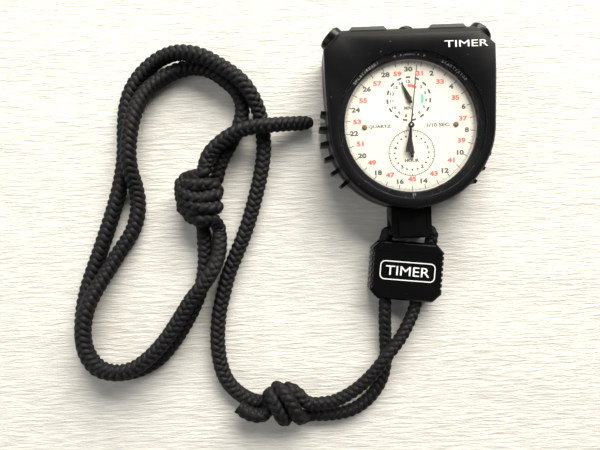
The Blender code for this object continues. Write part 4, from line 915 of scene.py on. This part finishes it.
def printMainScale(black, grey, red):
    level, spec = dialSpec["level"], dialSpec
    for second in range(30):
        if second % 2:
            words, ink, radius = str(second + 30), red, spec["redRadius"]
        else:
            words, ink, radius = str(second or 30), black, spec["blackRadius"]
        spot = polar(radius, second * 12)
        addWords(ink, words, *spot, spec["numeralCap"], level, spec["numeralWide"], bold=spec["numeralBold"])
    outer = spec["trackOuter"]
    for tenth in range(300):
        kind = "second" if tenth % 10 == 0 else "half" if tenth % 5 == 0 else "tenth"
        width = spec["line"] * (spec["secondLine"] if kind == "second" else 1.0)
        addTick(grey, tenth * 1.2, outer - spec["tickDepths"][kind], outer, width, level)
    mark = spec["redTick"]
    for second in range(1, 30, 2):
        addTick(red, second * 12, outer + mark["inner"], outer + mark["outer"], mark["width"], level)


def addDialWord(ink, spec):
    word = spec["word"]
    x, y, level, bold = spec["x"] + word["x"], spec["y"] + word["y"], dialSpec["level"], dialSpec["wordBold"]
    addWords(ink, word["words"], x, y, word["cap"], level, width=word["width"], bold=bold)


def printMinuteDial(black, grey, red, green):
    level, spec, bold = dialSpec["level"], minuteDial, dialSpec["numeralBold"]
    x, y, half = spec["x"], spec["y"], spec["dashHalfAngle"]
    for i in range(15):
        addArc(black, spec["dashes"], spec["dashWidth"], i * 24 - half, i * 24 + half, level, x, y, 3)
        spot = polar(spec["numerals"], i * 24, x, y)
        addWords(grey, str(i or 15), *spot, spec["cap"], level, smallNumeralWide, bold=bold)
    for ink, band in ((red, spec["red"]), (green, spec["green"])):
        addArc(ink, band["radius"], band["width"], band["first"], band["last"], level, x, y, 8)
    addDialWord(grey, spec)


def printHourDial(black, grey):
    level, spec, bold = dialSpec["level"], hourDial, dialSpec["numeralBold"]
    x, y, circle = spec["x"], spec["y"], spec["circle"]
    addArc(grey, circle, spec["line"], 0, 360, level, x, y, 72)
    for i in range(20):
        spot = polar(spec["dots"], i * 18, x, y)
        if i % 4:
            addDot(black, *spot, spec["dotRadius"], level)
        else:
            addWords(black, str(i // 4 or 5), *spot, spec["cap"], level, smallNumeralWide, bold=bold)
        addTick(black, i * 18, circle - spec["long"]["depth"], circle, spec["long"]["width"], level, x, y)
    for i in range(60):
        addTick(grey, i * 6, circle - spec["short"]["depth"], circle, spec["short"]["width"], level, x, y)
    addDialWord(black, spec)


def printDial():
    black, grey, red, green = startPrint(), startPrint(), startPrint(), startPrint()
    printMainScale(black, grey, red)
    printMinuteDial(black, grey, red, green)
    printHourDial(black, grey)
    spec = dialSpec
    for words, x, width in spec["words"]:
        addWords(grey, words, x, 0.0, spec["wordCap"], spec["level"], width=width, bold=spec["wordBold"])
    inks = {"Black": black, "Grey": grey, "Red": red, "Green": green}
    for colour, ink in inks.items():
        finishPrint("dialPrint" + colour, ink, "print" + colour, "case")


ringSpec = {
    "level": 15.7, "radius": 25.3, "cap": 0.95, "bold": 0.012, "line": 0.24, "lineHalfAngle": 4.7,
    "words": (("SPLIT/RESET", -40, 25), ("START/STOP", 40, 24)),
    "dot": {"bearing": 7.2, "radius": 0.3}, "arrow": {"tip": 13.6, "foot": 11.6, "half": 0.45},
    "mark": {"bearing": 0.85, "half": 0.5, "width": 0.26},
}


def printRing():
    white, spec = startPrint(), ringSpec
    level, radius = spec["level"], spec["radius"]
    dot, arrow, mark = spec["dot"], spec["arrow"], spec["mark"]
    for words, middle, span in spec["words"]:
        addArchedWords(white, words, radius, middle, span, spec["cap"], level, spec["bold"])
    addArc(white, radius, spec["line"], -spec["lineHalfAngle"], spec["lineHalfAngle"], level, steps=6)
    for side in (-1, 1):
        addDot(white, *polar(radius, side * dot["bearing"]), dot["radius"], level)
        tip = polar(radius, side * arrow["tip"])
        low, high = (polar(radius + end * arrow["half"], side * arrow["foot"]) for end in (-1, 1))
        addSlab(white, [tip, high, low] if side > 0 else [tip, low, high], level)
        bearing = 180 + side * mark["bearing"]
        addTick(white, bearing, radius - mark["half"], radius + mark["half"], mark["width"], level)
    finishPrint("ringPrint", white, "printWhite", "case")


caseWord = {"words": "TIMER", "x": 20.1, "y": 28.0, "cap": 2.35, "width": 15.6, "level": 17.5}
sliderWord = {
    "words": "TIMER", "cap": 3.5, "width": 16.6, "boxWide": 20.9, "boxHigh": 7.2, "corner": 1.9, "line": 0.38,
    "turn": -6.5,
}


def roundedRing(width, height, corner, steps=6):
    points = []
    for cx, cy, first in ((1, 1, 0), (-1, 1, 90), (-1, -1, 180), (1, -1, 270)):
        x, y = cx * (width / 2 - corner), cy * (height / 2 - corner)
        for i in range(steps + 1):
            turn = math.radians(first + 90 * i / steps)
            points.append((x + corner * math.cos(turn), y + corner * math.sin(turn)))
    return points


def printCaseWord():
    white, spec = startPrint(), caseWord
    addWords(white, spec["words"], spec["x"], spec["y"], spec["cap"], spec["level"], width=spec["width"])
    finishPrint("casePrint", white, "brightWhite", "case")


def printSliderWord():
    spec, white = sliderWord, startPrint()
    low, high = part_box("slider_front")
    middle = (low + high) / 2
    addWords(white, spec["words"], 0, 0, spec["cap"], 0, width=spec["width"])
    outer = roundedRing(spec["boxWide"], spec["boxHigh"], spec["corner"])
    inset = 2 * spec["line"]
    inner = roundedRing(spec["boxWide"] - inset, spec["boxHigh"] - inset, spec["corner"] - spec["line"])
    for a, b, c, d in zip(inner, inner[1:] + inner[:1], outer[1:] + outer[:1], outer):
        addSlab(white, [d, c, b, a], 0)
    piece = finishPrint("sliderPrint", white, "brightWhite", "slider")
    turned = Matrix.Rotation(math.radians(spec["turn"]), 4, "Z")
    piece.data.transform(Matrix.Translation((middle.x, middle.y, high.z)) @ turned)


printDial()
printRing()
printCaseWord()
printSliderWord()
print("printing done")


# ---- small turned details ----


def turnedPiece(name, profile, steps, material):
    mesh = bpy.data.meshes.new(name)
    shape = bmesh.new()
    turns = [i * math.tau / steps for i in range(steps)]
    rings = []
    for radius, z in profile:
        if radius == 0:
            rings.append([shape.verts.new((0, 0, z * mm))])
        else:
            wide = radius * mm
            rings.append([shape.verts.new((wide * math.cos(t), wide * math.sin(t), z * mm)) for t in turns])
    for a, b in zip(rings, rings[1:]):
        for i in range(steps):
            k = (i + 1) % steps
            if len(a) == 1:
                shape.faces.new((a[0], b[k], b[i]))
            elif len(b) == 1:
                shape.faces.new((a[i], a[k], b[0]))
            else:
                shape.faces.new((a[i], a[k], b[k], b[i]))
    bmesh.ops.recalc_face_normals(shape, faces=shape.faces)
    for face in shape.faces:
        face.smooth = True
    shape.to_mesh(mesh)
    shape.free()
    mesh.materials.append(materials[material])
    return addObject(name, mesh)


capSpec = {"rise": 0.22, "collar": 1.02, "edge": 0.12, "pin": 0.42, "seat": 0.1, "tip": 0.25, "dome": 0.03}


def makeSweepCap():
    spec = capSpec
    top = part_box("sweep_hand")[1].z / mm
    seat, crest, pin, collar = top + spec["seat"], top + spec["rise"], spec["pin"], spec["collar"]
    collarPiece = turnedPiece("sweepCollar", [
        (0, top), (collar, top), (collar, top + spec["edge"]), (collar - spec["edge"], crest),
        (pin + spec["seat"], crest), (pin, seat), (0, seat),
    ], 32, "handPaint")
    pinPiece = turnedPiece("sweepPin", [
        (0, seat), (pin, seat), (pin, crest), (spec["tip"], crest + spec["seat"]),
        (0, crest + spec["seat"] + spec["dome"]),
    ], 24, "pivotSteel")
    for piece in (collarPiece, pinPiece):
        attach(piece, "sweep")


makeSweepCap()
print("hand cap made")


# ---- floor and light ----

lightSpec = {
    "window": {"place": (0.3, 0.9, 0.62), "size": (1.2, 0.7), "power": 49.0, "colour": (1.0, 0.975, 0.91)},
    "fill": {"place": (-0.9, -0.1, 0.5), "size": (0.8, 0.8), "power": 5.0, "colour": (0.97, 0.98, 1.0)},
    "sky": {"colour": (0.96, 0.97, 1.0), "strength": 0.17},
}


def makeFloor():
    mesh = bpy.data.meshes.new("floor")
    half = 2.0
    corners = [(-half, -half, 0), (half, -half, 0), (half, half, 0), (-half, half, 0)]
    mesh.from_pydata(corners, [], [(0, 1, 2, 3)])
    mesh.materials.append(materials["floorCloth"])
    floor = addObject("floor", mesh)
    floor.location = (0, 0, cadBox[0].z - 0.00002)


def makeLights():
    middle = (cadBox[0] + cadBox[1]) / 2
    for name in ("window", "fill"):
        spec = lightSpec[name]
        data = bpy.data.lights.new(name, "AREA")
        data.shape = "RECTANGLE"
        data.size, data.size_y = spec["size"]
        data.energy = spec["power"]
        data.color = spec["colour"]
        lamp = addObject(name, data)
        lamp.location = spec["place"]
        lamp.rotation_euler = (middle - lamp.location).to_track_quat("-Z", "Y").to_euler()
    world = bpy.data.worlds.new("softSky")
    bpy.context.scene.world = world
    world.use_nodes = True
    sky = world.node_tree.nodes["Background"]
    sky.inputs["Color"].default_value = (*lightSpec["sky"]["colour"], 1)
    sky.inputs["Strength"].default_value = lightSpec["sky"]["strength"]


makeFloor()
makeLights()
print("floor and lights placed")
